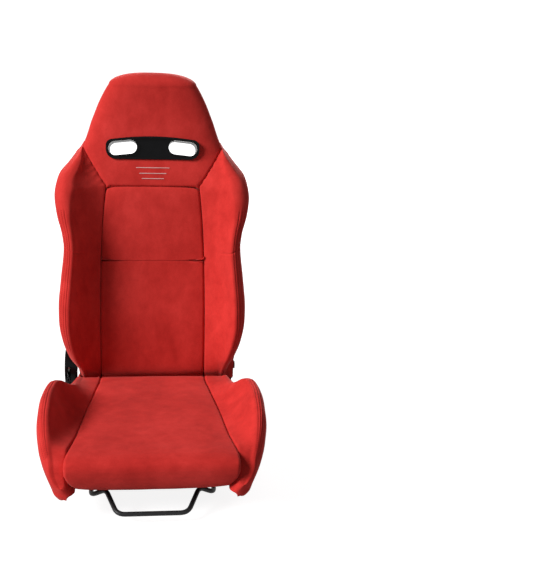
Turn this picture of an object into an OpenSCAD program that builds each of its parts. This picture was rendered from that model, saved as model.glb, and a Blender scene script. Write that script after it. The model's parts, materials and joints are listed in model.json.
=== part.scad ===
// Reclining sport seat on slide rails.
// X runs across the seat (+X is the sitter's left), +Y is the rear, +Z is up.
// The origin is the middle of the four floor bolts, on the floor.

/* [Rails] */
// Distance from the seat's middle to each rail
rail_x = 140; // [132:0.5:146]
// Length of the lower rail's channel
rail_len = 300; // [280:5:300]
// Outer width of the lower rail
lower_w = 42; // [41:0.5:44]
// Outer height of the lower rail
lower_h = 20; // [20:0.1:20.5]
// Sheet thickness of both rails
rail_wall = 2.5; // [2.3:0.05:2.6]
// Gap between the lips of the lower rail
lip_gap = 28; // [27.6:0.1:29]
// Distance along the rail between its floor bolt holes
floor_bolt_y = 320; // [316:1:330]
// Diameter of the floor bolt holes
floor_hole_d = 9; // [7:0.5:11]
// Length of the upper rail
upper_len = 290; // [280:2:292]
// Outer width of the upper rail's channel
upper_w = 26; // [25.6:0.1:26.4]
// Height of the upper rail's top over the floor
upper_top = 44; // [43.8:0.1:44.2]
// Diameter of the rail balls
ball_d = 5.4; // [5.2:0.05:5.4]
// Diameter of the rail rollers
roller_d = 6.4; // [6:0.05:6.4]
// Distance along the rail from its middle to the balls and rollers
bearing_y = 45; // [30:1:50]

/* [Slide bar] */
// Diameter of the slide bar
bar_d = 11; // [9:0.5:11]
// Height of the bar over the floor
bar_z = 27; // [26.8:0.1:27.2]
// How far the bar's cross-piece lies in front of the origin
bar_front = 330; // [300:5:350]
// Half length of the cross-piece, to the corners
bar_half = 78; // [50:2:90]
// How far behind the cross-piece the bar's arms reach their full spread
bar_splay = 82; // [70:2:140]
// Distance from the middle to the bar's second bends
bar_knee = 105; // [94:1:130]
// How far the second bends stand over the rest of the bar
bar_rise = 22; // [0:1:24]
// Diameter of the bar's pivot pins
bar_pin_d = 6; // [5:0.5:7]
// Distance of the bar's pivot pins behind the origin
bar_pin_y = 40; // [35:1:45]
// Thickness of the latch plates
latch_t = 6; // [4:0.5:7]
// Pitch of the latch teeth
latch_pitch = 8; // [6:1:10]
// Clearance between the latch teeth and the rack
latch_gap = 0.5; // [0.4:0.1:0.8]

/* [Seat frame] */
// Thickness of the cross straps
strap_t = 4; // [3:0.5:4]
// Width of the cross straps
strap_w = 40; // [30:2:50]
// Distance of the cross straps from the origin, to front and rear
strap_y = 120; // [105:5:125]
// Half length of the cross straps
strap_half = 204; // [203:0.5:206]
// Distance from the middle to the inner face of the side plates
pan_x = 119; // [112:0.5:119.5]
// Thickness of the side plates
pan_t = 3; // [2:0.5:3.5]
// Diameter of the seat's cross tubes
pan_tube_d = 22; // [18:1:24]
// Number of seat springs
seat_spring_n = 5; // [3:1:5]
// Diameter of the spring wire
wire_d = 4; // [3:0.5:4]

/* [Cushion] */
// Height of the cushion's seating face
seat_z = 165; // [163:0.5:166]
// Height of the cushion's underside
under_z = 110.5; // [109.5:0.5:112]
// Gap between neighbouring pads
pad_gap = 0.5; // [0.4:0.1:0.8]

/* [Backrest] */
// Height of the top of the head
head_top = 903; // [901:1:908]
// Half width of the centre panel at its foot
panel_x = 130; // [126:1:132]
// Half width of the centre panel at its top
panel_top_x = 115; // [112:1:117]
// Height of the centre panel's top seam
panel_top_z = 635; // [630:1:638]
// Thickness of the front padding
pad_t = 55; // [52:1:56]
// Thickness of the rear padding
rear_t = 12; // [8:0.5:13]
// Half width of the rear panel
rear_panel_x = 186; // [180:1:187]
// Diameter of the back frame's hoop
hoop_d = 22; // [18:1:22]
// Wall of the hoop's tube
hoop_wall = 2; // [1.5:0.25:3]
// Distance from the middle to the hoop's uprights
hoop_x = 150; // [146:1:151]

/* [Recliner] */
// Distance of the recline axis behind the origin
pivot_y = 150; // [149:0.5:151]
// Height of the recline axis over the floor
pivot_z = 165; // [164.5:0.5:165.5]
// Diameter of the pivot bolts
pivot_d = 12; // [10:0.5:13]
// Distance from the middle to the inner face of the brackets
bracket_x = 199; // [198.7:0.1:199.5]
// Thickness of the brackets and the hinge arms
plate_t = 4; // [3:0.1:4]
// Clearance between plates that turn on each other
plate_gap = 0.5; // [0.3:0.1:0.6]
// Radius of the backrest's rounded foot
foot_r = 74; // [70:0.5:74]
// Clearance between the foot and the cushion's trough
foot_gap = 1.5; // [1:0.1:2.5]
// Radius of the toothed end of the recliner arm
sector_r = 30; // [27:0.5:30.3]
// Number of teeth on a full turn of the sector
sector_teeth = 40; // [30:1:48]
// Height of the arms' top over the floor
arm_top = 312; // [300:2:314]
// Radius of the recliner cover round the axis
cover_r = 52; // [50:0.5:52.5]
// Distance from the middle to the outer face of the recliner cover
cover_x = 222; // [221.5:0.5:226]
// Wall of the plastic covers
cover_wall = 2.5; // [2:0.25:3]

/* [Harness slots] */
// Length of each harness slot
slot_w = 70; // [60:1:74]
// Height of each harness slot
slot_h = 34; // [28:1:36]
// Distance from the middle to each slot's centre
slot_x = 74; // [70:0.5:76]
// Tilt of the slots, inner ends up
slot_tilt = 6; // [0:1:8]
// Height of the slots' centre on the front face
slot_z = 726; // [720:1:730]
// Backward tilt of the slots' axis
slot_lean = 15; // [12:0.5:18]
// Length of the slots through the head
slot_len = 97; // [94:0.5:99]
// Wall of the slot sleeves
sleeve_wall = 2.5; // [2:0.25:3]
// Width of the front bezel
bezel_w = 230; // [222:1:236]
// Height of the front bezel
bezel_h = 56; // [52:1:58]

/* [Hidden] */
$fn = 48;
FABRIC = "firebrick";
STEEL = "silver";
BLACK = "#1c1d1f";
fit = 0.05;
clear = 0.3;

// Rails
lip_x = lip_gap / 2;
upper_x = upper_w / 2;
flange_x = lower_w / 2 - rail_wall - 1;
flange_z = lower_h - rail_wall - ball_d - 0.6;
roller_len = 6;
strap_top = upper_top + strap_t;
rack_h = 4;
rack_w = 18;
arm_in_rail = bar_pin_y + 12;
bolt_d = 8;

// Backrest shape, by height over the floor
BACK_W = [[91, 184], [168, 186], [222, 208], [276, 223], [325, 230], [355, 230], [424, 224],
  [500, 217], [533, 221], [576, 233], [616, 239], [655, 231], [685, 205], [718, 175],
  [785, 149], [831, 132], [874, 111], [900, 80], [920, 56]];
FRONT_Y = [[91, 88], [168, 90], [300, 100], [450, 135], [620, 175], [720, 212], [820, 240],
  [880, 253], [905, 264]];
REAR_Y = [[91, 214], [168, 216], [300, 228], [450, 255], [620, 290], [720, 312], [820, 326],
  [870, 329], [890, 322], [905, 306]];
BULGE = [[91, 0], [168, 3], [190, 14], [222, 38], [300, 70], [420, 78], [530, 70], [620, 52], [680, 28],
  [721, 6]];
PAD_T = [[600, pad_t], [720, pad_t - 9], [860, pad_t - 13]];
diag_top_z = 721;
diag_top_x = 173;
bolster_top = 712;
horizontal_seam_z = 457;

// Cushion shape, by distance from the origin along Y
SEAM_X = [[-342, 193], [-326, 193], [-215, 173], [-102, 157], [0, 141], [74, 131], [214, 131]];
WING_X = [[-328, 199], [-315, 218], [-290, 238], [-250, 253], [-200, 260], [-150, 260],
  [-95, 253], [-70, 244], [-40, 228], [0, 210], [40, 203], [75, 198], [214, 197]];
WING_Z = [[-328, 96], [-315, 122], [-290, 156], [-250, 196], [-200, 223], [-150, 236],
  [-95, 238], [-70, 231], [-40, 208], [0, 187], [40, 178], [75, 172], [214, 168]];
WING_FOOT = [[-328, 66], [-315, 54], [-290, 52], [-200, 55], [0, 58], [214, 58]];
LEDGE_Z = [[-282, 77.5], [-250, under_z], [40, under_z], [62, 90], [78, 80]];
FOOT_X = [[-328, 176], [-290, 168], [-240, 124], [214, 124]];
WING_LOW_X = [[-328, 194], [-290, 205], [-250, 215], [-200, 225], [214, 225]];

function unit(v) = v / norm(v);
function mix(a, b, t) = a + (b - a) * t;
function clamp(v, m) = max(-m, min(m, v));
// Points of a quadratic curve, without its first one
function bend(a, b, c, n) =
  [for (i = [1:n]) let (t = i / n) mix(mix(a, b, t), mix(b, c, t), t)];
function arc(r, a0, a1, n) =
  [for (i = [0:n]) let (a = mix(a0, a1, i / n)) r * [cos(a), sin(a)]];
function quad(a, b, c, d) = [[a, b, c], [a, c, d]];

// Underside of the rounded foot, or of the trough, at distance y
function foot_z(y, r) = pivot_z - sqrt(max(0, r * r - pow(y - pivot_y, 2)));
trough_r = foot_r + foot_gap;
function trough_z(y) = y > pivot_y - trough_r ? foot_z(y, trough_r) : 999;

function front_y(z) = lookup(z, FRONT_Y);
function rear_y(z) = lookup(z, REAR_Y);
function pad_depth(z) = lookup(z, PAD_T);
function cavity_y(z) = (front_y(z) + pad_depth(z) + rear_y(z) - rear_t) / 2;
function panel_half(z) = mix(panel_x, panel_top_x,
  pow(max(0, (z - pivot_z) / (panel_top_z - pivot_z)), 4));
function diag_x(z) = z < panel_top_z ? panel_half(z)
  : mix(panel_top_x, diag_top_x, (z - panel_top_z) / (diag_top_z - panel_top_z));
// The rear panel is straight up to its shoulders, with an arch above them
shoulder_z = 500;
arch_h = 130;
arch_p = 2.6;
function rear_half(z) = z <= shoulder_z ? rear_panel_x
  : rear_panel_x * pow(max(0, 1 - pow((z - shoulder_z) / arch_h, arch_p)), 1 / arch_p);

// The rear panel ends at the head's seam, between the bolsters
function panel_edge(z) = max(min(rear_half(z), lookup(z, BACK_W) - 8), panel_half(z) - pad_gap / 2);

// A closed solid between two sheets of points, row by row
module sheets(rows) {
  n = len(rows) - 1;
  m = len(rows[0][0]) - 1;
  k = 2 * (m + 1);
  points = [for (row = rows) each concat(row[0], row[1])];
  function o(i, j) = i * k + j;
  function u(i, j) = i * k + m + 1 + j;
  faces = [
    for (i = [0:n - 1], j = [0:m - 1]) each quad(o(i, j), o(i, j + 1), o(i + 1, j + 1), o(i + 1, j)),
    for (i = [0:n - 1], j = [0:m - 1]) each quad(u(i, j), u(i + 1, j), u(i + 1, j + 1), u(i, j + 1)),
    for (i = [0:n - 1]) each quad(o(i, 0), o(i + 1, 0), u(i + 1, 0), u(i, 0)),
    for (i = [0:n - 1]) each quad(o(i, m), u(i, m), u(i + 1, m), o(i + 1, m)),
    for (j = [0:m - 1]) each quad(u(0, j), u(0, j + 1), o(0, j + 1), o(0, j)),
    for (j = [0:m - 1]) each quad(u(n, j), o(n, j), o(n, j + 1), u(n, j + 1))
  ];
  polyhedron(points, faces);
}

// A closed solid through rings of points, the first one lowest, each counter-clockwise
module rings(list) {
  n = len(list) - 1;
  m = len(list[0]);
  c = floor(3 * m / 4);
  faces = [
    for (i = [0:n - 1], j = [0:m - 1])
      each quad(i * m + j, (i + 1) * m + j, (i + 1) * m + (j + 1) % m, i * m + (j + 1) % m),
    for (j = [1:m - 2]) [c, (c + j) % m, (c + j + 1) % m],
    for (j = [1:m - 2]) [n * m + c, n * m + (c + j + 1) % m, n * m + (c + j) % m]
  ];
  polyhedron([for (ring = list) each ring], faces);
}

// A round rod along a path; up is a direction that the path never takes
module rod(path, r, up, sides = 8) {
  n = len(path) - 1;
  rings([for (i = [0:n])
    let (t = unit(path[min(i + 1, n)] - path[max(i - 1, 0)]),
      a = unit(cross(up, t)), b = cross(t, a))
    [for (j = [0:sides - 1]) path[i] + r * (cos(360 * j / sides) * a + sin(360 * j / sides) * b)]]);
}

module side(s) { mirror([s < 0 ? 1 : 0, 0, 0]) children(); }
module both() { for (s = [-1, 1]) side(s) children(); }
// An XZ outline drawn out along Y, and a YZ outline drawn out along X
module prism_y(length) {
  translate([0, length / 2, 0]) rotate([90, 0, 0]) linear_extrude(length) children();
}
module prism_x(x0, x1) {
  translate([x0, 0, 0]) rotate([90, 0, 90]) linear_extrude(x1 - x0) children();
}
module pin_x(x0, x1, y, z, r) {
  translate([x0, y, z]) rotate([0, 90, 0]) cylinder(h = x1 - x0, r = r);
}
module box(x0, x1, y0, y1, z0, z1) {
  translate([x0, y0, z0]) cube([x1 - x0, y1 - y0, z1 - z0]);
}

// ---- Rails ----

module lower_rail(s) {
  color(BLACK) translate([s * rail_x, 0, 0]) {
    difference() {
      union() {
        prism_y(rail_len) polygon([
          [-lower_w / 2, 0], [lower_w / 2, 0], [lower_w / 2, lower_h], [lip_x, lower_h],
          [lip_x, lower_h - rail_wall], [lower_w / 2 - rail_wall, lower_h - rail_wall],
          [lower_w / 2 - rail_wall, rail_wall], [-lower_w / 2 + rail_wall, rail_wall],
          [-lower_w / 2 + rail_wall, lower_h - rail_wall], [-lip_x, lower_h - rail_wall],
          [-lip_x, lower_h], [-lower_w / 2, lower_h]]);
        box(-lower_w / 2, lower_w / 2, -floor_bolt_y / 2 - 20, floor_bolt_y / 2 + 20, 0, rail_wall);
        prism_x(-rack_w / 2, rack_w / 2) rack_profile();
      }
      for (y = [-1, 1] * floor_bolt_y / 2)
        translate([0, y, -1]) cylinder(h = rail_wall + 2, d = floor_hole_d);
    }
  }
}
module rack_profile() {
  polygon([
    [-rail_len / 2 + 2, rail_wall - 1],
    for (y = [-rail_len / 2 + 2:latch_pitch:80])
      each [[y, rail_wall + rack_h - 2], [y + 1, rail_wall + rack_h],
        [y + latch_pitch / 2, rail_wall + rack_h], [y + latch_pitch / 2 + 1, rail_wall + rack_h - 2]],
    [85, rail_wall - 1]]);
}

module upper_rail(s) {
  color(STEEL) translate([s * rail_x, 0, 0]) difference() {
    prism_y(upper_len) polygon([
      [-flange_x, flange_z - rail_wall], [-upper_x + rail_wall, flange_z - rail_wall],
      [-upper_x + rail_wall, upper_top - rail_wall], [upper_x - rail_wall, upper_top - rail_wall],
      [upper_x - rail_wall, flange_z - rail_wall], [flange_x, flange_z - rail_wall],
      [flange_x, flange_z], [upper_x, flange_z], [upper_x, upper_top], [-upper_x, upper_top],
      [-upper_x, flange_z], [-flange_x, flange_z]]);
    pin_x(-upper_x - 1, upper_x + 1, bar_pin_y, bar_z, bar_pin_d / 2 + fit);
    for (y = [-1, 1] * strap_y)
      translate([0, y, upper_top - 4]) cylinder(h = 8, d = bolt_d + 0.1);
  }
}

module rail_balls() {
  x = (upper_x + lower_w / 2 - rail_wall) / 2;
  color(STEEL) for (s = [-1, 1], side_x = [-x, x], y = [-bearing_y, bearing_y])
    translate([s * rail_x + side_x, y, flange_z + (ball_d + 0.6) / 2]) sphere(d = ball_d);
}

module rail_rollers() {
  color(STEEL) for (s = [-1, 1], x = [-flange_x, flange_x - roller_len], y = [-1, 1] * bearing_y)
    translate([s * rail_x, 0, 0]) pin_x(x, x + roller_len, y, rail_wall + roller_d / 2 + fit, roller_d / 2);
}

module bar_pivot_pins() {
  color(STEEL) for (s = [-1, 1]) translate([s * rail_x, 0, 0]) {
    pin_x(-upper_x - 0.8, upper_x + 0.8, bar_pin_y, bar_z, bar_pin_d / 2);
    for (x = [-upper_x - 1.8, upper_x + 0.1])
      pin_x(x, x + 1.7, bar_pin_y, bar_z, bar_pin_d / 2 + 1.5);
  }
}

// ---- Slide bar ----

bar_bend_y = bar_splay - bar_front;
knee_drop = 14;
knee_z = bar_z + bar_rise;
// The bar's corners, and how far from each corner its bend begins
BAR = [[rail_x, arm_in_rail, bar_z], [rail_x, bar_bend_y, bar_z],
  [bar_knee, bar_bend_y - knee_drop, knee_z], [bar_half, -bar_front, bar_z],
  [-bar_half, -bar_front, bar_z], [-bar_knee, bar_bend_y - knee_drop, knee_z],
  [-rail_x, bar_bend_y, bar_z], [-rail_x, arm_in_rail, bar_z]];
BAR_CUT = [0, 16, 14, 18, 18, 14, 16, 0];
BAR_PATH = concat([BAR[0]],
  [for (i = [1:len(BAR) - 2])
    let (p = BAR[i], a = p + BAR_CUT[i] * unit(BAR[i - 1] - p), b = p + BAR_CUT[i] * unit(BAR[i + 1] - p))
    each concat([a], bend(a, p, b, 6))],
  [BAR[len(BAR) - 1]]);

module slide_bar() {
  color(BLACK) difference() {
    rod(BAR_PATH, bar_d / 2, [0, 0, 1], 16);
    for (s = [-1, 1]) translate([s * rail_x, 0, 0])
      pin_x(-bar_d, bar_d, bar_pin_y, bar_z, bar_pin_d / 2 + fit);
  }
}

module latch(s) {
  tip = rail_wall + rack_h + latch_gap;
  color(STEEL) translate([s * rail_x, 0, 0]) difference() {
    prism_x(-latch_t / 2, latch_t / 2) polygon([
      for (y = [-74:latch_pitch:-42])
        each [[y, tip + 2], [y + 1, tip], [y + latch_pitch / 2, tip], [y + latch_pitch / 2 + 1, tip + 2]],
      [-34, tip + 2], [-34, bar_z], [-74, bar_z]]);
    translate([0, -20, bar_z]) rotate([90, 0, 0]) cylinder(h = 80, d = bar_d + 0.1);
    box(-latch_t, latch_t, -90, 0, bar_z - 2, bar_z + 1);
  }
}

spring_wire = 1.2;
coil_r = bar_pin_d / 2 + 0.3 + spring_wire / 2;
coil_x = bar_d / 2 + 0.9;
coil_pitch = 1.5;
coil_turns = 2;
leg_reach = 14;
// A torsion spring on the pivot pin: coil, and a leg that hooks over the bar
BAR_SPRING = concat(
  [[coil_x + coil_pitch * coil_turns, bar_pin_y + leg_reach, upper_top - rail_wall - spring_wire],
    [coil_x + coil_pitch * coil_turns, bar_pin_y + 6, bar_z + coil_r + 1]],
  [for (i = [0:8 * coil_turns]) let (a = 45 * i)
    [coil_x + coil_pitch * (coil_turns - i / 8), bar_pin_y - coil_r * sin(a), bar_z + coil_r * cos(a)]],
  [[coil_x, bar_pin_y - leg_reach, bar_z + bar_d / 2 + 1],
    [coil_x - 2, bar_pin_y - leg_reach - 2, bar_z + bar_d / 2 + 1],
    [-2, bar_pin_y - leg_reach - 2, bar_z + bar_d / 2 + 1]]);
module bar_springs() {
  color(STEEL) for (s = [-1, 1]) translate([s * rail_x, 0, 0])
    rod(BAR_SPRING, spring_wire / 2, unit([1, 0.1, 0.35]), 6);
}

// ---- Seat frame ----

module cross_strap(y) {
  color(BLACK) difference() {
    box(-strap_half, strap_half, y - strap_w / 2, y + strap_w / 2, upper_top, strap_top);
    for (x = [-rail_x, rail_x]) translate([x, y, upper_top - 1]) cylinder(h = strap_t + 2, d = bolt_d + 0.1);
    if (y > 0) for (x = [-1, 1] * bracket_bolt_x)
      translate([x, y, upper_top - 1]) cylinder(h = strap_t + 2, d = bolt_d + 0.1);
  }
}

nut_h = 6.5;
module rail_bolts() {
  color(STEEL) for (x = [-rail_x, rail_x], y = [-1, 1] * strap_y) translate([x, y, 0]) {
    translate([0, 0, upper_top - rail_wall - 2]) cylinder(h = 2, d = 14);
    translate([0, 0, upper_top - rail_wall - 1]) cylinder(h = rail_wall + strap_t + 6, d = bolt_d);
    difference() {
      translate([0, 0, strap_top]) cylinder(h = 5, d = 14, $fn = 6);
      translate([0, 0, strap_top - 1]) cylinder(h = nut_h, d = bolt_d + 0.02);
    }
  }
}

pan_top = under_z - 4.5;
pan_front = -278;
pan_rear = 200;
pan_low = 76;
// The side's front end stands clear of the slide bar
pan_lip = strap_top + 14;
module seat_side(s) {
  color(BLACK) side(s) difference() {
    union() {
      prism_x(pan_x, pan_x + pan_t) polygon([
        [pan_front, pan_lip], [pan_tube_y + 10, pan_lip], [pan_tube_y + 26, strap_top],
        [pan_rear, strap_top], [pan_rear, pan_low], [66, pan_low],
        [35, pan_top], [pan_front + 20, pan_top], [pan_front, pan_top - 16]]);
      box(pan_x - 24, pan_x + 0.1, pan_front + 60, pan_rear, strap_top, strap_top + pan_t);
    }
    for (y = [pan_tube_y, pan_rear_tube_y])
      pin_x(pan_x - 5, pan_x + 5, y, pan_tube_z, pan_tube_d / 2 + fit);
  }
}
pan_tube_y = -252;
pan_tube_z = 76;
pan_rear_tube_y = 30;

module pan_tube(y) {
  color(BLACK) difference() {
    pin_x(-pan_x - pan_t - 1, pan_x + pan_t + 1, y, pan_tube_z, pan_tube_d / 2);
    pin_x(-pan_x - 10, pan_x + 10, y, pan_tube_z, pan_tube_d / 2 - 2);
  }
}

// Zigzag springs that run from the front tube to the rear one
spring_z = pan_tube_z + pan_tube_d / 2 + wire_d / 2 + 0.2;
spring_steps = 14;
module seat_springs() {
  color(STEEL) for (i = [0:seat_spring_n - 1]) {
    x = (i - (seat_spring_n - 1) / 2) * 44;
    path = [for (j = [0:spring_steps]) let (y = mix(pan_tube_y - 4, pan_rear_tube_y + 4, j / spring_steps))
      each j % 2 == 0 ? [[x - 14, y, spring_z], [x + 14, y + 2, spring_z]]
        : [[x + 14, y, spring_z], [x - 14, y + 2, spring_z]]];
    rod(path, wire_d / 2, [0, 0, 1], 6);
  }
}

// ---- Cushion ----

nose_y = -342;
// Rows from the rear lip to the bottom of the nose: upper y, z, lower y, z and how far the ends draw in
SEAT_ROWS = concat(
  [for (y = [212, 195, 172, 150, 128, 108, 92]) [y, trough_z(y), y, 80, 0]],
  [[78, trough_z(78), 78, 80, 0], [pivot_y - trough_r - 0.5, seat_z - 3, 62, 90, 0]],
  [for (y = [40, 0, -50, -102, -160, -215, -262]) [y, seat_z + 4 * (y + 262) * (74 - y) / 28224, y, under_z, 0]],
  [[-296, seat_z - 3, -283, under_z, 0], [-322, seat_z - 12, -284, under_z - 3, 0],
    [-337, seat_z - 28, -285, under_z - 9, 0], [nose_y, seat_z - 48, -286, under_z - 15, 2],
    [-337, seat_z - 70, -286, under_z - 21, 8], [-325, seat_z - 84, -287, under_z - 28, 18]]);
module seat_centre_pad() {
  crown = 5;
  ts = [-1, -0.985, -0.93, -0.75, -0.4, 0, 0.4, 0.75, 0.93, 0.985, 1];
  color(FABRIC) sheets([for (r = SEAT_ROWS)
    let (lift = r[0] > pivot_y - trough_r - 2 ? 0 : crown,
      ahead = r[0] < -300 ? 1 : 0, drop = 0.35,
      w = lookup(r[0] + (1 + drop) * lift * ahead, SEAM_X) - pad_gap / 2 - r[4])
    [[for (t = ts) let (c = lift * (pow(abs(t), 6) + drop * t * t))
        [w * t, r[0] + c * ahead, r[1] - c * (1 - 0.6 * ahead)]],
      [for (t = ts) [(lookup(r[2], SEAM_X) - pad_gap / 2) * t, r[2], r[3]]]]]);
}

module seat_bolster(s) {
  ys = [212, 195, 172, 150, 128, 108, 92, 78, 71, 62, 40, 0, -40, -70, -95, -150, -200, -250, -282, -302,
    -317, -328];
  color(FABRIC) side(s) sheets([for (y = ys)
    let (xs = lookup(y, SEAM_X) + pad_gap / 2, xo = lookup(y, WING_X), top = trough_z(y),
      zc = min(lookup(y, WING_Z), top), zf = lookup(y, WING_FOOT), h = zc - zf,
      zs = min(seat_z - 2, top, zc), zl = lookup(y, LEDGE_Z) - pad_gap,
      high = max(0, zc - seat_z), soft = min(6, 0.4 * (xo - xs), 0.12 * h),
      xc = mix(xs, xo, 0.72), narrow = min(xs - 1, max(lookup(y, FOOT_X), pan_x + pan_t + 3 + 2 * pad_gap)),
      foot_x = max(mix(xs, xo, 0.1), min(mix(xs, xo, 0.92) - 0.75 * high, lookup(y, WING_LOW_X))),
      lo = min(zl, zs - 4), zb = zc - 0.3 * h - soft,
      outer = concat([[xs, zs]],
        bend([xs, zs], [mix(xs, xc, 0.55), zs + 0.15 * high], [xc - soft, min(zc - soft / 2, top)], 4),
        bend([xc - soft, min(zc - soft / 2, top)], [xc + soft, zc + min(4, top - zc)],
          [mix(xc, xo, 0.6), min(zc - 0.6 * soft, top)], 3),
        bend([mix(xc, xo, 0.6), min(zc - 0.6 * soft, top)], [xo + soft / 3, mix(zc, zb, 0.4)], [xo, zb], 3),
        bend([xo, zb], [mix(foot_x, xo, 0.8), mix(zf, zc, 0.3)], [foot_x, zf], 4),
        [[narrow + 2, zf + 3]]),
      inner = concat([for (k = [0:10]) [xs, mix(zs - 2, lo, k / 10)]],
        [for (k = [1:2]) [mix(xs, narrow, k / 2), lo]],
        [for (k = [1:3]) [narrow, mix(lo, zf + 5, k / 3)]]))
    [[for (p = outer) [p[0], y, p[1]]], [for (p = inner) [p[0], y, p[1]]]]]);
}

// ---- Recliner and hinge ----

arm_x = bracket_x + plate_t + plate_gap;
lever_x = arm_x + plate_t + 0.7;
lever_t = 3;
bracket_bolt_x = 176;
bracket_top_r = 24;
bracket_foot = 44;

module bracket(s) {
  color(BLACK) side(s) difference() {
    union() {
      prism_x(bracket_x, bracket_x + plate_t) union() {
        translate([pivot_y, pivot_z]) circle(r = bracket_top_r);
        polygon([[pivot_y - bracket_top_r, pivot_z], [strap_y - bracket_foot / 2, strap_top],
          [strap_y + bracket_foot + 26, strap_top], [pivot_y + bracket_foot, pivot_z - 62],
          [pivot_y + bracket_top_r, pivot_z]]);
      }
      box(bracket_x - 40, bracket_x + 0.1, strap_y - strap_w / 2, strap_y + strap_w / 2,
        strap_top, strap_top + plate_t);
    }
    pin_x(bracket_x - 1, bracket_x + plate_t + 1, pivot_y, pivot_z, pivot_d / 2 + fit);
    translate([bracket_bolt_x, strap_y, strap_top - 1]) cylinder(h = plate_t + 2, d = bolt_d + 0.1);
    if (s < 0) {
      pin_x(bracket_x - 1, bracket_x + plate_t + 1, pawl_y, pawl_z, pawl_pin_d / 2 + fit);
      for (p = COVER_BOSS) pin_x(bracket_x - 1, bracket_x + plate_t + 1, p[0], p[1], 2.1);
    }
  }
}

module bracket_bolts() {
  color(STEEL) for (x = [-1, 1] * bracket_bolt_x) translate([x, strap_y, 0]) {
    translate([0, 0, upper_top - 7]) cylinder(h = 7, d = 13, $fn = 6);
    translate([0, 0, upper_top - 1]) cylinder(h = strap_t + plate_t + 2, d = bolt_d);
  }
}

// The recliner side's bolt is long enough for the lever and the spring
module pivot_bolt(s, end, nut) {
  color(BLACK) side(s) {
    pin_x(bracket_x - 6, bracket_x - 0.1, pivot_y, pivot_z, pivot_d / 2 + 4);
    pin_x(bracket_x - 1, end, pivot_y, pivot_z, pivot_d / 2);
    difference() {
      pin_x(end - 0.5 - nut, end - 0.5, pivot_y, pivot_z, pivot_d / 2 + 4);
      pin_x(end - 1 - nut, end, pivot_y, pivot_z, pivot_d / 2 + 0.01);
    }
  }
}

// Teeth round the sector, r at the tips
function teeth(r, depth, a0, a1) = [for (i = [0:ceil((a1 - a0) * sector_teeth / 360) * 2])
  let (a = a0 + i * 180 / sector_teeth) (i % 2 == 0 ? r : r - depth) * [cos(a), sin(a)]];
tooth = 1.6;

// The arm leans with the backrest's side
arm_lean = 8;
arm_half = 17;
module arm_outline() {
  translate([pivot_y, pivot_z]) {
    circle(r = sector_r - tooth - 0.4);
    rotate(-arm_lean) {
      translate([-arm_half, 0]) square([2 * arm_half, arm_top - pivot_z - arm_half]);
      translate([0, arm_top - pivot_z - arm_half]) circle(r = arm_half);
    }
  }
}
// Where the arm bolts pass, measured up the arm from the axis
ARM_BOLTS = [75, 125];
function arm_point(d) = [pivot_y + d * sin(arm_lean), pivot_z + d * cos(arm_lean)];
arm_bolt_d = 10;

module arm(s) {
  color(BLACK) side(s) difference() {
    prism_x(arm_x, arm_x + plate_t) union() {
      arm_outline();
      if (s < 0) translate([pivot_y, pivot_z]) polygon(concat([[0, 0]], teeth(sector_r, tooth, 175, 375)));
    }
    pin_x(arm_x - 1, arm_x + plate_t + 1, pivot_y, pivot_z, pivot_d / 2 + fit);
    for (d = ARM_BOLTS)
      pin_x(arm_x - 1, arm_x + plate_t + 1, arm_point(d)[0], arm_point(d)[1], arm_bolt_d / 2 + fit);
  }
}

pawl_r = 37.5;
pawl_angle = -138;
pawl_y = pivot_y + pawl_r * cos(pawl_angle);
pawl_z = pivot_z + pawl_r * sin(pawl_angle);
pawl_pin_d = 6;
module recliner_pawl() {
  gap = 0.6;
  color(STEEL) side(-1) difference() {
    prism_x(arm_x, arm_x + plate_t) translate([pivot_y, pivot_z]) union() {
      polygon(concat(arc(sector_r + 13, -138, -76, 12),
        [for (p = arc(1, -76, -102, 7)) p * sector_r + gap * p],
        arc(sector_r + 2.6, -103, -138, 6)));
      rotate(pawl_angle) translate([pawl_r, 0]) circle(r = 6.5);
    }
    pin_x(arm_x - 1, arm_x + plate_t + 1, pawl_y, pawl_z, pawl_pin_d / 2 + fit);
  }
}

module pawl_pin() {
  color(STEEL) side(-1) {
    pin_x(bracket_x - 2, bracket_x - 0.1, pawl_y, pawl_z, pawl_pin_d / 2 + 2);
    pin_x(bracket_x - 1, arm_x + plate_t + 0.3, pawl_y, pawl_z, pawl_pin_d / 2);
  }
}

// Flat spiral that raises the backrest
spiral_turns = 2.6;
spiral_t = 1.6;
module recliner_spring() {
  spiral_in = pivot_d / 2 + 0.3;
  pitch = 4.4;
  steps = 48;
  function edge(i, d) = let (a = 360 * spiral_turns * i / steps)
    (spiral_in + d + pitch * a / 360) * [cos(a), sin(a)];
  color(STEEL) side(-1) translate([0, pivot_y, pivot_z]) prism_x(lever_x + lever_t + 0.5, lever_x + lever_t + 4.5)
    polygon([for (i = [0:steps]) edge(i, 0), for (i = [steps:-1:0]) edge(i, spiral_t)]);
}

// ---- Lever ----

lever_drop = 17;
lever_hub_r = 15;
grip_x = 224;
grip_r = 8.5;
grip_start = 92;
grip_end = 146;
lever_rod_d = 9;
module along_lever() {
  translate([0, pivot_y, pivot_z]) rotate([lever_drop, 0, 0]) children();
}
module recline_lever() {
  color(BLACK) side(-1) {
    difference() {
      union() {
        along_lever() prism_x(lever_x, lever_x + lever_t) union() {
          circle(r = lever_hub_r);
          translate([-70, -6.5]) square([70, 13]);
        }
        along_lever() prism_x(lever_x, lever_x + 14) translate([-72, -5]) square([7, 10]);
      }
      pin_x(lever_x - 1, lever_x + lever_t + 1, pivot_y, pivot_z, pivot_d / 2 + fit);
    }
    along_lever() translate([grip_x, -70, 0]) rotate([90, 0, 0]) cylinder(h = grip_end - 74, d = lever_rod_d);
  }
}

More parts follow.
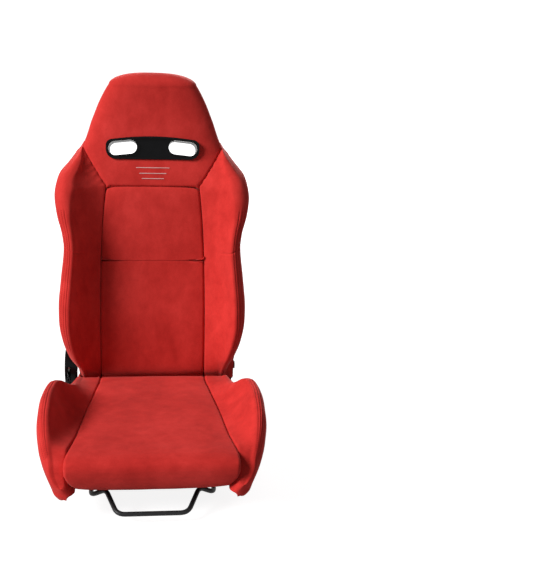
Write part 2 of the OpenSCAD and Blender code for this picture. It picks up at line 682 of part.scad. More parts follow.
module lever_grip() {
  color(BLACK) side(-1) along_lever() translate([grip_x, 0, 0]) rotate([90, 0, 0]) difference() {
    union() {
      translate([0, 0, grip_start]) cylinder(h = grip_end - grip_start, r = grip_r);
      translate([0, 0, grip_end]) cylinder(h = 4, r1 = grip_r, r2 = grip_r - 3);
    }
    translate([0, 0, grip_start - 1]) cylinder(h = grip_end - grip_start - 3 + 1.1, d = lever_rod_d + 0.1);
  }
}

// ---- Covers ----

cover_foot = [2, -37, 34];
COVER_BOSS = [[136, 107], [174, 113]];
// The cover's side outline: the arc round the axis, and the smaller one below it
module cover_outline(inset) {
  r = cover_r - inset;
  f = cover_foot[2] - inset;
  d = norm([cover_foot[0], cover_foot[1]]);
  way = atan2(cover_foot[1], cover_foot[0]);
  open = acos((cover_r - cover_foot[2]) / d);
  translate([pivot_y, pivot_z]) polygon(concat(
    arc(r, way + open, way + 360 - open, 40),
    [for (p = arc(f, way - open, way + open, 20)) p + [cover_foot[0], cover_foot[1]]]));
}
// The cover's front rim reaches in to the backrest's side, below the path of the arm
skirt_x = bracket_x - 9.5;
module cover_skirt() {
  translate([pivot_y, pivot_z])
    polygon(concat(arc(cover_r, 115, 212, 20), arc(cover_r - cover_wall, 212, 115, 20)));
}
module recliner_cover() {
  inner_x = lever_x - 0.3;
  color(BLACK) side(-1) difference() {
    union() {
      difference() {
        union() {
          prism_x(inner_x, cover_x - 6) cover_outline(0);
          prism_x(cover_x - 6, cover_x - 3) cover_outline(2.5);
          prism_x(cover_x - 3, cover_x) cover_outline(6);
          prism_x(skirt_x, inner_x + 1) cover_skirt();
        }
        prism_x(inner_x - 1, cover_x - cover_wall - 6) cover_outline(cover_wall);
        prism_x(cover_x - cover_wall - 7, cover_x - cover_wall) cover_outline(9);
      }
      for (p = COVER_BOSS) pin_x(bracket_x + plate_t + 0.1, cover_x - cover_wall, p[0], p[1], 4.5);
    }
    for (p = COVER_BOSS) pin_x(bracket_x + plate_t - 1, bracket_x + plate_t + 14, p[0], p[1], 2.05);
    box(inner_x - 1, lever_x + lever_t + 3, pivot_y - cover_r - 2, pivot_y - 30, 134, 184);
  }
}

module cover_screws() {
  color(BLACK) side(-1) for (p = COVER_BOSS) {
    pin_x(bracket_x - 2.5, bracket_x - 0.1, p[0], p[1], 4);
    pin_x(bracket_x - 1, bracket_x + plate_t + 13, p[0], p[1], 2);
  }
}

arm_cover_x = arm_x + plate_t + 0.6;
arm_cover_t = 9;
arm_cover_r = cover_r + 2;
module arm_cover_outline(inset) {
  half = arm_half + 4 - inset;
  tall = arm_top - pivot_z - arm_half + 3;
  difference() {
    translate([pivot_y, pivot_z]) rotate(-arm_lean) {
      translate([-half, 20]) square([2 * half, tall - 20]);
      translate([0, tall]) circle(r = half);
    }
    translate([pivot_y, pivot_z]) circle(r = arm_cover_r + inset);
  }
}
module arm_cover() {
  post = arm_point(100);
  color(BLACK) side(-1) difference() {
    union() {
      difference() {
        prism_x(arm_cover_x, arm_cover_x + arm_cover_t) arm_cover_outline(0);
        prism_x(arm_cover_x - 1, arm_cover_x + arm_cover_t - cover_wall) arm_cover_outline(cover_wall);
      }
      pin_x(arm_cover_x, arm_cover_x + arm_cover_t - 1, post[0], post[1], 4);
    }
    pin_x(arm_cover_x - 1, arm_cover_x + arm_cover_t + 1, post[0], post[1], 2.05);
  }
}

module arm_cover_screw() {
  post = arm_point(100);
  color(BLACK) side(-1) {
    pin_x(arm_cover_x + arm_cover_t + 0.1, arm_cover_x + arm_cover_t + 2.4, post[0], post[1], 4);
    pin_x(arm_cover_x + 1, arm_cover_x + arm_cover_t + 1, post[0], post[1], 2);
  }
}

// ---- Back frame ----

side_plate_x = hoop_x + hoop_d / 2 + 0.5;
side_plate_t = 4;
spacer_r = 10;
module arm_bolts() {
  color(BLACK) both() for (d = ARM_BOLTS) {
    pin_x(side_plate_x - 8, arm_x + plate_t + 1, arm_point(d)[0], arm_point(d)[1], arm_bolt_d / 2);
    pin_x(arm_x + plate_t + 0.05, arm_x + plate_t + 5, arm_point(d)[0], arm_point(d)[1], 8);
    difference() {
      translate([side_plate_x - 7, arm_point(d)[0], arm_point(d)[1]]) rotate([0, 90, 0])
        cylinder(h = 6.9, d = 16, $fn = 6);
      pin_x(side_plate_x - 9, side_plate_x, arm_point(d)[0], arm_point(d)[1], arm_bolt_d / 2 + 0.01);
    }
  }
}

module arm_spacers() {
  color(STEEL) both() for (d = ARM_BOLTS) difference() {
    pin_x(side_plate_x + side_plate_t + 0.1, arm_x - 0.1, arm_point(d)[0], arm_point(d)[1], spacer_r);
    pin_x(side_plate_x, arm_x + 1, arm_point(d)[0], arm_point(d)[1], arm_bolt_d / 2 + fit);
  }
}

module back_side_plate(s) {
  color(BLACK) side(s) difference() {
    prism_x(side_plate_x, side_plate_x + side_plate_t)
      polygon([[146, 186], [196, 186], [200, 320], [158, 320]]);
    for (d = ARM_BOLTS) pin_x(side_plate_x - 1, side_plate_x + side_plate_t + 1,
      arm_point(d)[0], arm_point(d)[1], arm_bolt_d / 2 + fit);
    pin_x(side_plate_x - 1, side_plate_x + side_plate_t + 1, low_tube_y, low_tube_z, low_tube_d / 2 + fit);
  }
}

low_tube_y = 172;
low_tube_z = 202;
low_tube_d = 16;
hoop_foot = 216;
function hoop_point(x, z) = [x, cavity_y(z), z];
HOOP_SIDE = concat(
  [for (z = [hoop_foot, 300, 450, 600]) [hoop_x, z]],
  [[hoop_x - 4, 620], [hoop_x - 9, 650], [hoop_x - 16, 690], [hoop_x - 23, 727]],
  bend([hoop_x - 23, 727], [104, 850], [40, 858], 6));
module back_frame_hoop() {
  path = concat(
    [for (p = HOOP_SIDE) hoop_point(-p[0], p[1])],
    [for (i = [len(HOOP_SIDE) - 1:-1:0]) hoop_point(HOOP_SIDE[i][0], HOOP_SIDE[i][1])]);
  drop = [0, 0, 1];
  color(BLACK) difference() {
    rod(path, hoop_d / 2, [0, 1, 0], 12);
    rod(concat([path[0] - drop], path, [path[len(path) - 1] - drop]), hoop_d / 2 - hoop_wall, [0, 1, 0], 12);
  }
}

module back_lower_tube() {
  color(BLACK) difference() {
    pin_x(-side_plate_x - side_plate_t - 1, side_plate_x + side_plate_t + 1, low_tube_y, low_tube_z,
      low_tube_d / 2);
    pin_x(-side_plate_x - 20, side_plate_x + 20, low_tube_y, low_tube_z, low_tube_d / 2 - 2);
  }
}

// Zigzag springs across the hoop
BACK_SPRING_Z = [290, 370, 450, 530];
module back_springs() {
  steps = 12;
  reach = hoop_x - hoop_d / 2 - wire_d / 2 - 0.8;
  color(STEEL) for (z = BACK_SPRING_Z)
    rod([for (j = [0:steps]) let (x = mix(-reach, reach, j / steps))
      each j % 2 == 0 ? [[x - 0.5, cavity_y(z - 11), z - 11], [x + 0.5, cavity_y(z + 11), z + 11]]
        : [[x - 0.5, cavity_y(z + 11), z + 11], [x + 0.5, cavity_y(z - 11), z - 11]]],
      wire_d / 2, [0, 1, 0], 6);
}

// ---- Back padding ----

// Lowest rows bend from the rounded foot to level ones
function row_z(y, z, blend) = mix(foot_z(clamp(y - pivot_y, foot_r - 0.5) + pivot_y, foot_r), z, blend);
BACK_ROWS = [[168, 0], [150, 0.5], [172, 1], [222, 1], [276, 1], [325, 1], [375, 1], [424, 1],
  [horizontal_seam_z - 12, 1], [horizontal_seam_z, 1], [horizontal_seam_z + 12, 1], [500, 1], [533, 1],
  [576, 1], [605, 1], [625, 1], [panel_top_z, 1]];
module back_centre_pad() {
  ts = [-1, -0.985, -0.93, -0.7, -0.35, 0, 0.35, 0.7, 0.93, 0.985, 1];
  color(FABRIC) sheets([for (r = BACK_ROWS)
    let (z = r[0], w = panel_half(z) - pad_gap / 2,
      groove = z == horizontal_seam_z ? 4 : z == panel_top_z || r[1] == 0 ? 5 : 0)
    [[for (t = ts) let (y = front_y(z) + groove + 5 * pow(abs(t), 6)) [-w * t, y, row_z(y, z, r[1])]],
      [for (t = ts) let (y = front_y(z) + pad_depth(z)) [-w * t, y, row_z(y, z, r[1])]]]]);
}

module back_bolster(s) {
  zs = [[bolster_top, 1], [685, 1], [662, 1], [640, 1], [620, 1], [608, 1], [590, 1], [560, 1], [530, 1],
    [500, 1], [450, 1], [400, 1], [355, 1], [300, 1], [260, 1], [222, 1], [195, 1], [172, 1], [150, 0.5],
    [168, 0]];
  color(FABRIC) side(s) difference() {
    sheets([for (r = zs)
      let (z = r[0], w = lookup(z, BACK_W), xs = diag_x(z) + pad_gap / 2, high = z > panel_top_z,
        yf = high ? head_y(xs, z, -1) - 2 : front_y(z), yr = high ? head_y(xs, z, 1) : rear_y(z),
        b = lookup(z, BULGE), soft = min(5, 0.25 * (w - xs)), xc = mix(xs, w, 0.72), yc = yf - b,
        wall = min(48, 0.6 * (w - xs)), xw = max(xs + 1, w - wall),
        xr = max(high ? 0 : panel_edge(z) + pad_gap, z < panel_top_z - 40 ? 0 : xs),
        rc = min(44, 0.6 * (w - xr)), deep = pad_depth(z) - (high ? 10 : 0),
        back = yr - rear_t - (high ? 0 : pad_gap),
        outer = concat([[xs, yf + 5]],
          bend([xs, yf + 5], [mix(xs, xc, 0.5), yf - 0.1 * b], [xc - soft, yc + 4], 4),
          bend([xc - soft, yc + 4], [xc + soft, yc - 5], [mix(xc, w, 0.75), yc + 14], 3),
          bend([mix(xc, w, 0.75), yc + 14], [w + soft / 5, yc + 28], [w, mix(yc + 28, yf + 40, 0.7)], 2),
          bend([w, yr - 1.6 * rc], [w - 0.1 * rc, yr - 0.2 * rc], [w - rc, yr - 1], 4),
          [[xr, yr]]),
        inner = concat([for (k = [0:5]) [mix(xs, xw, k / 5), yf + deep]],
          xr < xw ? concat([for (k = [1:4]) [xw, mix(yf + deep, back, k / 4)]],
            [for (k = [1:5]) [mix(xw, xr, k / 5), back]])
          : concat([for (k = [1:2]) [xw, mix(yf + deep, back, k / 2)]],
            [for (k = [1:2]) [mix(xw, xr, k / 2), back]],
            [for (k = [1:5]) [xr, mix(back, yr - 2, k / 5)]])))
      [[for (p = outer) [p[0], p[1], row_z(p[1], z, r[1])]],
        [for (p = inner) [p[0], p[1], row_z(p[1], z, r[1])]]]]);
    bolster_cuts(s);
  }
}
// Room in the bolster for the brackets, the arms, their bolts and the recliner's covers
module bolster_cuts(s) {
  pin_x(s < 0 ? skirt_x - 0.8 : bracket_x - 0.7, 300, pivot_y, pivot_z, s < 0 ? cover_r + 3.5 : 34);
  pin_x(bracket_x - 11, 300, pivot_y, pivot_z, 14);
  if (s < 0) box(arm_x - 0.5, 300, pivot_y - 15, 330, 100, arm_top + 12);
  else prism_x(arm_x - 0.5, arm_x + plate_t + 6) translate([pivot_y, pivot_z]) rotate(-arm_lean)
    translate([-arm_half - 1, -10]) square([2 * arm_half + 2, arm_top - pivot_z + 16]);
  for (d = ARM_BOLTS) pin_x(100, arm_x, arm_point(d)[0], arm_point(d)[1], spacer_r + 0.6);
  box(side_plate_x - 6, side_plate_x + side_plate_t + 1.6, 144, 204, 184, 322);
}

module back_rear_panel() {
  ts = [-1, -0.97, -0.75, -0.4, 0, 0.4, 0.75, 0.97, 1];
  zs = [[168, 0], [150, 0.5], [172, 1], [195, 1], [222, 1], [300, 1], [450, 1], [500, 1], [530, 1],
    [560, 1], [590, 1], [608, 1], [620, 1], [panel_top_z - pad_gap, 1]];
  color(FABRIC) sheets([for (r = zs)
    let (z = r[0], w = panel_edge(z), yr = rear_y(z), y0 = yr - rear_t)
    [[for (t = ts) let (y = y0) [-w * t, y, row_z(y, z, r[1])]],
      [for (t = ts) let (y = yr - 3 * pow(t, 6)) [-w * t, y, row_z(y, z, r[1])]]]]);
}

// ---- Head ----

module in_head() {
  translate([0, front_y(slot_z), slot_z]) rotate([-slot_lean, 0, 0]) children();
}
// A long hole's outline, turned so that its length runs along X and its depth along Y
module long_hole(length, height, y0, y1) {
  translate([0, y1, 0]) rotate([90, 0, 0]) linear_extrude(y1 - y0) union() {
    square([length - height, height], center = true);
    for (x = [-1, 1] * (length - height) / 2) translate([x, 0]) circle(d = height);
  }
}
module at_slot(s) { in_head() side(s) translate([slot_x, 0, 0]) rotate([0, slot_tilt, 0]) children(); }

sleeve_w = slot_w + 2 * sleeve_wall;
sleeve_h = slot_h + 2 * sleeve_wall;
rear_bezel_w = slot_w + 30;
rear_bezel_h = slot_h + 24;
bezel_back = 4;

// The head's surface at x and height z, in front (-1) or behind (1)
head_square = 3.4;
function head_y(x, z, way) = let (w = lookup(z, BACK_W), half = (rear_y(z) - front_y(z)) / 2)
  front_y(z) + half + way * half * pow(max(0, 1 - pow(min(1, x / w), head_square)), 1 / head_square);
// One closed ring of the head at height z
function head_ring(z) =
  let (w = lookup(z, BACK_W), yf = front_y(z), yr = rear_y(z), p = 2 / head_square, n = 28)
  [for (i = [0:n - 1]) let (a = 360 * (i + 0.5) / n, c = cos(a), s = sin(a))
    [clamp(w * sign(c) * pow(abs(c), p), z < diag_top_z + 4 ? diag_x(z) - pad_gap / 2 : 999),
      (yf + yr) / 2 + (yr - yf) / 2 * sign(s) * pow(abs(s), p), z]];
HEAD_Z = [panel_top_z + pad_gap, 660, 690, diag_top_z, 750, 785, 810, 831, 852, 874, 888, 896, head_top - 2];
// How much the flat of the crown is drawn in from the last of these rings
crown_in = 0.55;
function head_crown() = let (ring = head_ring(head_top - 2), mid = (ring[0] + ring[len(ring) / 2]) / 2)
  [for (p = ring) [p[0] * crown_in, mix(mid[1], p[1], crown_in), head_top]];
CAVITY = [[620, 280], [698, 280], [704, 150], [760, 135], [800, 124], [835, 109], [860, 92], [872, 70]];
module head_pad() {
  color(FABRIC) difference() {
    rings(concat([for (z = HEAD_Z) head_ring(z)], [head_crown()]));
    rings([for (c = CAVITY) let (y0 = front_y(c[0]) + pad_depth(c[0]), y1 = rear_y(c[0]) - rear_t)
      [[-c[1], y0, c[0]], [c[1], y0, c[0]], [c[1], y1, c[0]], [-c[1], y1, c[0]]]]);
    for (s = [-1, 1]) at_slot(s) {
      long_hole(sleeve_w + 2 * clear, sleeve_h + 2 * clear, -20, slot_len + 20);
      long_hole(rear_bezel_w + 2 * clear, rear_bezel_h + 2 * clear, slot_len - 2 - clear, slot_len + 30);
    }
    in_head() bezel_solid(clear, -40, bezel_back + clear);
  }
}

// The front bezel's outline: an arched top, a straight foot and round ends
module bezel_outline(grow) {
  w = bezel_w / 2 + grow;
  foot = -bezel_h / 2 - grow;
  low_r = 24 + grow;
  high_r = 16 + grow;
  drop = 10;
  function arch(x) = bezel_h / 2 + grow - drop * pow(x / w, 2);
  half = concat(
    [for (p = arc(low_r, -90, 0, 6)) p + [w - low_r, foot + low_r]],
    [for (p = arc(high_r, 0, 80, 5)) p + [w - high_r, arch(w - high_r) - high_r]],
    [for (i = [1:6]) let (x = (w - high_r) * (1 - i / 7)) [x, arch(x)]]);
  polygon(concat(half, [for (i = [len(half) - 1:-1:0]) [-half[i][0], half[i][1]]]));
}
module bezel_solid(grow, y0, y1) {
  translate([0, y1, 0]) rotate([90, 0, 0]) linear_extrude(y1 - y0) bezel_outline(grow);
}
module front_bezel() {
  rim = 5;
  color(BLACK) difference() {
    in_head() union() {
      bezel_solid(0, 1, bezel_back);
      difference() {
        bezel_solid(0, -rim, bezel_back - 1);
        bezel_solid(-5, -rim - 1, bezel_back + 1);
      }
      for (s = [-1, 1]) side(s) translate([slot_x, 0, 0]) rotate([0, slot_tilt, 0])
        long_hole(slot_w + 8, slot_h + 8, -rim + 1, bezel_back - 1);
    }
    for (s = [-1, 1]) at_slot(s) long_hole(slot_w, slot_h, -20, 20);
  }
}

module rear_bezel(s) {
  color(BLACK) at_slot(s) difference() {
    union() {
      long_hole(rear_bezel_w, rear_bezel_h, slot_len - 2, slot_len + 4);
      long_hole(rear_bezel_w - 8, rear_bezel_h - 8, slot_len, slot_len + 7);
    }
    long_hole(slot_w, slot_h, slot_len - 10, slot_len + 10);
  }
}

module harness_sleeve(s) {
  color(BLACK) at_slot(s) difference() {
    long_hole(sleeve_w, sleeve_h, bezel_back + 0.1, slot_len - 2.1);
    long_hole(slot_w, slot_h, 0, slot_len + 1);
  }
}

lower_rail(1);  // lower_rail_left
lower_rail(-1);  // lower_rail_right
rail_balls();
rail_rollers();
upper_rail(1);  // upper_rail_left
upper_rail(-1);  // upper_rail_right
bar_pivot_pins();
slide_bar();
latch(1);  // latch_left
latch(-1);  // latch_right
bar_springs();
cross_strap(-strap_y);  // cross_strap_front
cross_strap(strap_y);  // cross_strap_rear
rail_bolts();
seat_side(1);  // seat_side_left
seat_side(-1);  // seat_side_right
pan_tube(pan_tube_y);  // seat_front_tube
pan_tube(pan_rear_tube_y);  // seat_rear_tube
seat_springs();
seat_centre_pad();
seat_bolster(1);  // seat_bolster_left
seat_bolster(-1);  // seat_bolster_right
bracket(-1);  // recliner_bracket
bracket(1);  // hinge_bracket
bracket_bolts();
pivot_bolt(-1, cover_x - cover_wall - 0.6, 2.2);  // recliner_pivot_bolt
pivot_bolt(1, arm_x + plate_t + 6, 4.5);  // hinge_pivot_bolt
pawl_pin();
recliner_pawl();
recliner_spring();
recline_lever();
lever_grip();
recliner_cover();
cover_screws();
arm(-1);  // recliner_arm
arm(1);  // hinge_arm
arm_cover();
arm_cover_screw();
arm_bolts();
arm_spacers();
back_side_plate(1);  // back_side_plate_left
back_side_plate(-1);  // back_side_plate_right
back_frame_hoop();
back_lower_tube();
back_springs();
back_centre_pad();
back_bolster(1);  // back_bolster_left
back_bolster(-1);  // back_bolster_right
head_pad();
back_rear_panel();
front_bezel();
rear_bezel(1);  // rear_bezel_left
rear_bezel(-1);  // rear_bezel_right
harness_sleeve(1);  // harness_sleeve_left
harness_sleeve(-1);  // harness_sleeve_right
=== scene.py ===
"""Reclining sport seat: soft pieces, materials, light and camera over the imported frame."""
import itertools
import json
import math
import bmesh
import bpy
import numpy as np
from numpy.linalg import norm
from mathutils import Matrix, Vector


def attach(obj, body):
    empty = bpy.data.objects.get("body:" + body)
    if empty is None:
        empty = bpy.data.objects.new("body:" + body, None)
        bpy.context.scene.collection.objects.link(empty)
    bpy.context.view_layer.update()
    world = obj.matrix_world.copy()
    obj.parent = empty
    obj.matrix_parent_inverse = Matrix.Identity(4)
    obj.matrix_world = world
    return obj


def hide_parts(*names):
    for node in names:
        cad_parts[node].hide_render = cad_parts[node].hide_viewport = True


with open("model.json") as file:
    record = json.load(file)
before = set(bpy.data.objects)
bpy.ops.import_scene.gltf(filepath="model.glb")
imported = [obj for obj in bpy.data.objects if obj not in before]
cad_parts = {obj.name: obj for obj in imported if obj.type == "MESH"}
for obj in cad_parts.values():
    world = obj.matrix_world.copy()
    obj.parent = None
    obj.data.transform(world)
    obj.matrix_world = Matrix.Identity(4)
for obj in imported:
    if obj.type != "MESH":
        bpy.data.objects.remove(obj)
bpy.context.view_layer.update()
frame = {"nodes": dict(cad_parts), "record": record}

MM = 0.001

# ---- shape tables, millimetres
BACK_W = [[91, 184], [168, 186], [222, 208], [276, 223], [325, 230], [355, 230], [424, 224],
          [500, 217], [533, 221], [576, 233], [616, 239], [655, 231], [685, 205], [718, 175],
          [785, 149], [831, 130], [874, 105], [900, 80], [920, 56]]
FRONT_Y = [[91, 88], [168, 90], [300, 100], [450, 135], [620, 175], [720, 212], [820, 240],
           [880, 253], [905, 264]]
REAR_Y = [[91, 214], [168, 216], [300, 228], [450, 255], [620, 290], [720, 312], [820, 326],
          [870, 329], [890, 322], [905, 306]]
BULGE = [[91, 0], [168, 3], [190, 14], [222, 38], [300, 70], [420, 78], [530, 70], [620, 52],
         [680, 28], [721, 6]]
PAD_T = [[600, 55], [720, 46], [860, 42]]
SEAM_X = [[-342, 193], [-326, 193], [-215, 173], [-102, 157], [0, 141], [74, 131], [214, 131]]
WING_X = [[-328, 199], [-315, 218], [-290, 238], [-250, 253], [-200, 260], [-150, 260],
          [-95, 253], [-70, 244], [-40, 228], [0, 210], [40, 203], [75, 198], [214, 197]]
WING_Z = [[-328, 96], [-315, 122], [-290, 156], [-250, 196], [-200, 223], [-150, 236],
          [-95, 238], [-70, 231], [-40, 208], [0, 187], [40, 178], [75, 172], [214, 168]]
WING_FOOT = [[-328, 66], [-315, 54], [-290, 52], [-200, 55], [0, 58], [214, 58]]
LEDGE_Z = [[-282, 77.5], [-250, 110.5], [40, 110.5], [62, 90], [78, 80]]
FOOT_X = [[-328, 176], [-290, 168], [-240, 124], [214, 124]]
WING_LOW_X = [[-328, 194], [-290, 205], [-250, 215], [-200, 225], [214, 225]]
NOSE_IN = [[78, 28], [86, 22], [96, 14], [110, 6], [124, 1], [132, 0], [300, 0]]
REAR_T = 12  # thickness of the rear panel
GAP = 0.5  # between two sewn pieces
PIVOT = (150, 165)  # recline axis (y, z)
FOOT_R = 74  # the backrest's round foot about that axis
TROUGH_R = 75.5  # the cushion's trough around the foot
SEAT_Z = 165  # the cushion's seams at the front
SEAT_Y = (-262, 74)  # front and rear end of the cushion's top
PANEL_LOW, PANEL_HIGH = 130, 115  # half widths of the backrest's panel
CROSS_Z = 457  # seam across the panel
HEAD_Z = 635  # the head's lower edge in front
HEAD_LOW = HEAD_Z + GAP / 2
HEAD_HALF = 114.8  # half width of that edge
HEAD_TIP = (173, 721)  # upper end of the slanted seam in front (x, z)
REAR_SEAM = ((140, 605), (171, 657))  # slanted seam behind, from and to (x, z)
REAR_X = 186  # half width of the rear panel
ARCH_Z, ARCH_H, ARCH_P = 500, 130, 2.6  # foot, height and roundness of its arch
CORNER_R = 15  # the head's lower edge round the panel's upper corners
HEAD_P = 3.4  # roundness of the head's outline from above
DOME_Z, DOME_H = 868, 30
CREST = 0.72  # where a bolster's crest lies across its width
TIP_Y, TIP_LEN = -300, 33  # start and length of the wing's rounded front end
SLOT_AT = (74, 726)  # middle of a harness slot (x, z)
SLOT_LEAN, SLOT_TILT = 15, 6  # degrees, down to the rear and up to the middle
SLEEVE_CUT, BEZEL_CUT = (75.6, 39.6), (100.6, 58.6)  # room for a sleeve and a rear bezel
CUT_PLAY = 0.3  # about the front bezel
WING_RIBS, BACK_RIBS = (38, 45, 52, 59), (42, 49, 56)  # columns with a sewn groove
STITCH, STITCH_GAP, THREAD_R, THREAD_LIFT = 3.2, 1.5, 0.42, 0.15


def curve(points):
    """A smooth function through the points that never overshoots them."""
    x, y = np.array(points, float).T
    h = np.diff(x)
    d = np.diff(y) / h
    m = np.concatenate([[d[0]], np.zeros(len(d) - 1), [d[-1]]])
    for i in range(1, len(d)):
        if d[i - 1] * d[i] > 0:
            a, b = 2 * h[i] + h[i - 1], h[i] + 2 * h[i - 1]
            m[i] = (a + b) / (a / d[i - 1] + b / d[i])

    def at(v):
        v = np.clip(np.asarray(v, float), x[0], x[-1])
        i = np.clip(np.searchsorted(x, v, side="right") - 1, 0, len(h) - 1)
        t = (v - x[i]) / h[i]
        return ((1 + 2 * t) * (1 - t) ** 2 * y[i] + t * (1 - t) ** 2 * h[i] * m[i]
                + t * t * (3 - 2 * t) * y[i + 1] + t * t * (t - 1) * h[i] * m[i + 1])
    return at


back_w, front_y, rear_y, bulge, pad_t = map(curve, (BACK_W, FRONT_Y, REAR_Y, BULGE, PAD_T))
seam_x, wing_x, wing_z, wing_foot, ledge_z, foot_x, wing_low_x, nose_in = map(
    curve, (SEAM_X, WING_X, WING_Z, WING_FOOT, LEDGE_Z, FOOT_X, WING_LOW_X, NOSE_IN))


def mix(a, b, t):
    """From a at t = 0 to b at t = 1."""
    return a + (b - a) * t


def panel_half(z):
    """Half width of the backrest's panel."""
    return mix(PANEL_LOW, PANEL_HIGH, max(0.0, (z - SEAT_Z) / (HEAD_Z - SEAT_Z)) ** 4)


def diag_x(z):
    """Half width, in front, of what lies between the bolsters at height z."""
    if z < HEAD_Z:
        return panel_half(z)
    return mix(PANEL_HIGH, HEAD_TIP[0], (z - HEAD_Z) / (HEAD_TIP[1] - HEAD_Z))


def arch(t, p):
    """Height of a rounded arch at t: 1 in its middle, 0 from t = 1 on."""
    return max(0.0, 1 - min(1.0, t) ** p) ** (1 / p)


def rear_half(z):
    """Half width of the rear panel: straight sides with an arch above them."""
    return REAR_X * arch(max(0.0, (z - ARCH_Z) / ARCH_H), ARCH_P)


def arch_z(x):
    """Height of the rear panel's edge at x."""
    return ARCH_Z + ARCH_H * arch(abs(x) / REAR_X, ARCH_P)


def rear_seam(z):
    """Half width, behind, of what lies between the bolsters at height z."""
    (x0, z0), (x1, z1) = REAR_SEAM
    return rear_half(z) if z < z0 else mix(x0, x1, (z - z0) / (z1 - z0))


def seat_top(y):
    """Height of the seat's surface at its seams: it rises a little towards the back."""
    front, rear = SEAT_Y
    return SEAT_Z + 6 * max(0.0, (min(y, rear) - front) / (rear - front)) ** 1.5


def foot_z(y, r):
    """Height of the arc about the recline axis, below it."""
    return PIVOT[1] - math.sqrt(max(0.0, r * r - (y - PIVOT[0]) ** 2))


def noise(p, seed):
    """Smooth value noise between -1 and 1 at points p, one cell per unit."""
    p = np.asarray(p, float)
    cell = np.floor(p).astype(np.int64)
    f = p - cell
    f = f * f * (3 - 2 * f)

    def at(dx, dy, dz):
        h = ((cell[..., 0] + dx) * 374761393 + (cell[..., 1] + dy) * 668265263
             + (cell[..., 2] + dz) * 1274126177 + seed * 974711) & 0xFFFFFFFF
        h = ((h ^ (h >> 13)) * 1103515245) & 0xFFFFFFFF
        h = ((h ^ (h >> 16)) * 2246822519) & 0xFFFFFFFF
        return (h & 0xFFFFFF) / 8388607.5 - 1
    total = 0
    for dx, dy, dz in itertools.product((0, 1), repeat=3):
        w = ((f[..., 0] if dx else 1 - f[..., 0]) * (f[..., 1] if dy else 1 - f[..., 1])
             * (f[..., 2] if dz else 1 - f[..., 2]))
        total = total + w * at(dx, dy, dz)
    return total


def waves(grid, *layers):
    """Small waves in a cover; each layer has a cell size, a seed and a height."""
    return sum(noise(grid / size, seed) * height for size, seed, height in layers)


def bend(a, b, c, n):
    """Points of a quadratic curve, without its first one."""
    a, b, c = (np.array(p, float) for p in (a, b, c))
    return [mix(mix(a, b, t), mix(b, c, t), t) for t in (i / n for i in range(1, n + 1))]


def relax(grid, fixed, times):
    """Evens out a grid of points, but for the fixed columns and the first and last rows."""
    for _ in range(times):
        for axis in (0, 1):
            even = grid.copy()
            if axis:
                even[:, 1:-1] = 0.5 * grid[:, 1:-1] + 0.25 * (grid[:, :-2] + grid[:, 2:])
            else:
                even[1:-1] = 0.5 * grid[1:-1] + 0.25 * (grid[:-2] + grid[2:])
            grid = np.where(fixed[None, :, None], grid, even)
    return grid


def normals(grid):
    """Unit normals of a grid of points; the sign follows the order of rows and columns."""
    n = np.cross(np.gradient(grid, axis=0), np.gradient(grid, axis=1))
    return n / np.maximum(norm(n, axis=-1, keepdims=True), 1e-9)


def edge_columns(m):
    """The columns at a section's two ends, which evening out leaves alone."""
    fixed = np.zeros(m, bool)
    fixed[:9] = fixed[-9:] = True
    return fixed


def shown_columns(m):
    """1 for the columns that show, 0 for those that run into the seams."""
    shown = np.ones(m)
    shown[:4] = shown[-5:] = 0
    return shown


# ---- pieces
def new_object(name, data):
    obj = bpy.data.objects.new(name, data)
    bpy.context.scene.collection.objects.link(obj)
    return obj


def new_mesh(name, verts, faces):
    """A mesh from points in millimetres, with its faces turned outwards."""
    mesh = bpy.data.meshes.new(name)
    mesh.from_pydata([tuple(v) for v in np.asarray(verts, float) * MM], [], faces)
    mesh.validate()
    bm = bmesh.new()
    bm.from_mesh(mesh)
    bmesh.ops.remove_doubles(bm, verts=bm.verts, dist=1e-6)
    bmesh.ops.recalc_face_normals(bm, faces=bm.faces)
    bm.to_mesh(mesh)
    bm.free()
    return mesh


def piece(name, verts, faces, material, body, smooth=True):
    mesh = new_mesh(name, verts, faces)
    for polygon in mesh.polygons:
        polygon.use_smooth = smooth
    mesh.materials.append(material)
    obj = new_object(name, mesh)
    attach(obj, body)
    return obj


def ring_faces(n, k):
    """Faces between n closed rings of k points each."""
    return [(i * k + j, i * k + (j + 1) % k, (i + 1) * k + (j + 1) % k, (i + 1) * k + j)
            for i in range(n - 1) for j in range(k)]


def loft(outer, inner):
    """Points and faces of a closed solid between two grids of points, row by row."""
    outer, inner = np.asarray(outer, float), np.asarray(inner, float)
    n, m = outer.shape[:2]
    points = np.concatenate([outer, inner[:, ::-1]], axis=1)
    k = points.shape[1]
    faces = ring_faces(n, k)
    for i in (0, n - 1):
        faces += [(i * k + j, i * k + j + 1, i * k + k - 2 - j, i * k + k - 1 - j)
                  for j in range(m - 1)]
    return points.reshape(-1, 3), faces


def lengths(line):
    """Length along a line up to each of its points."""
    return np.concatenate([[0], np.cumsum(norm(np.diff(line, axis=0), axis=1))])


def sample(line, s, at):
    """Values of a line, which has its points at s, at other places along it."""
    return np.stack([np.interp(at, s, line[:, k]) for k in range(line.shape[1])], axis=-1)


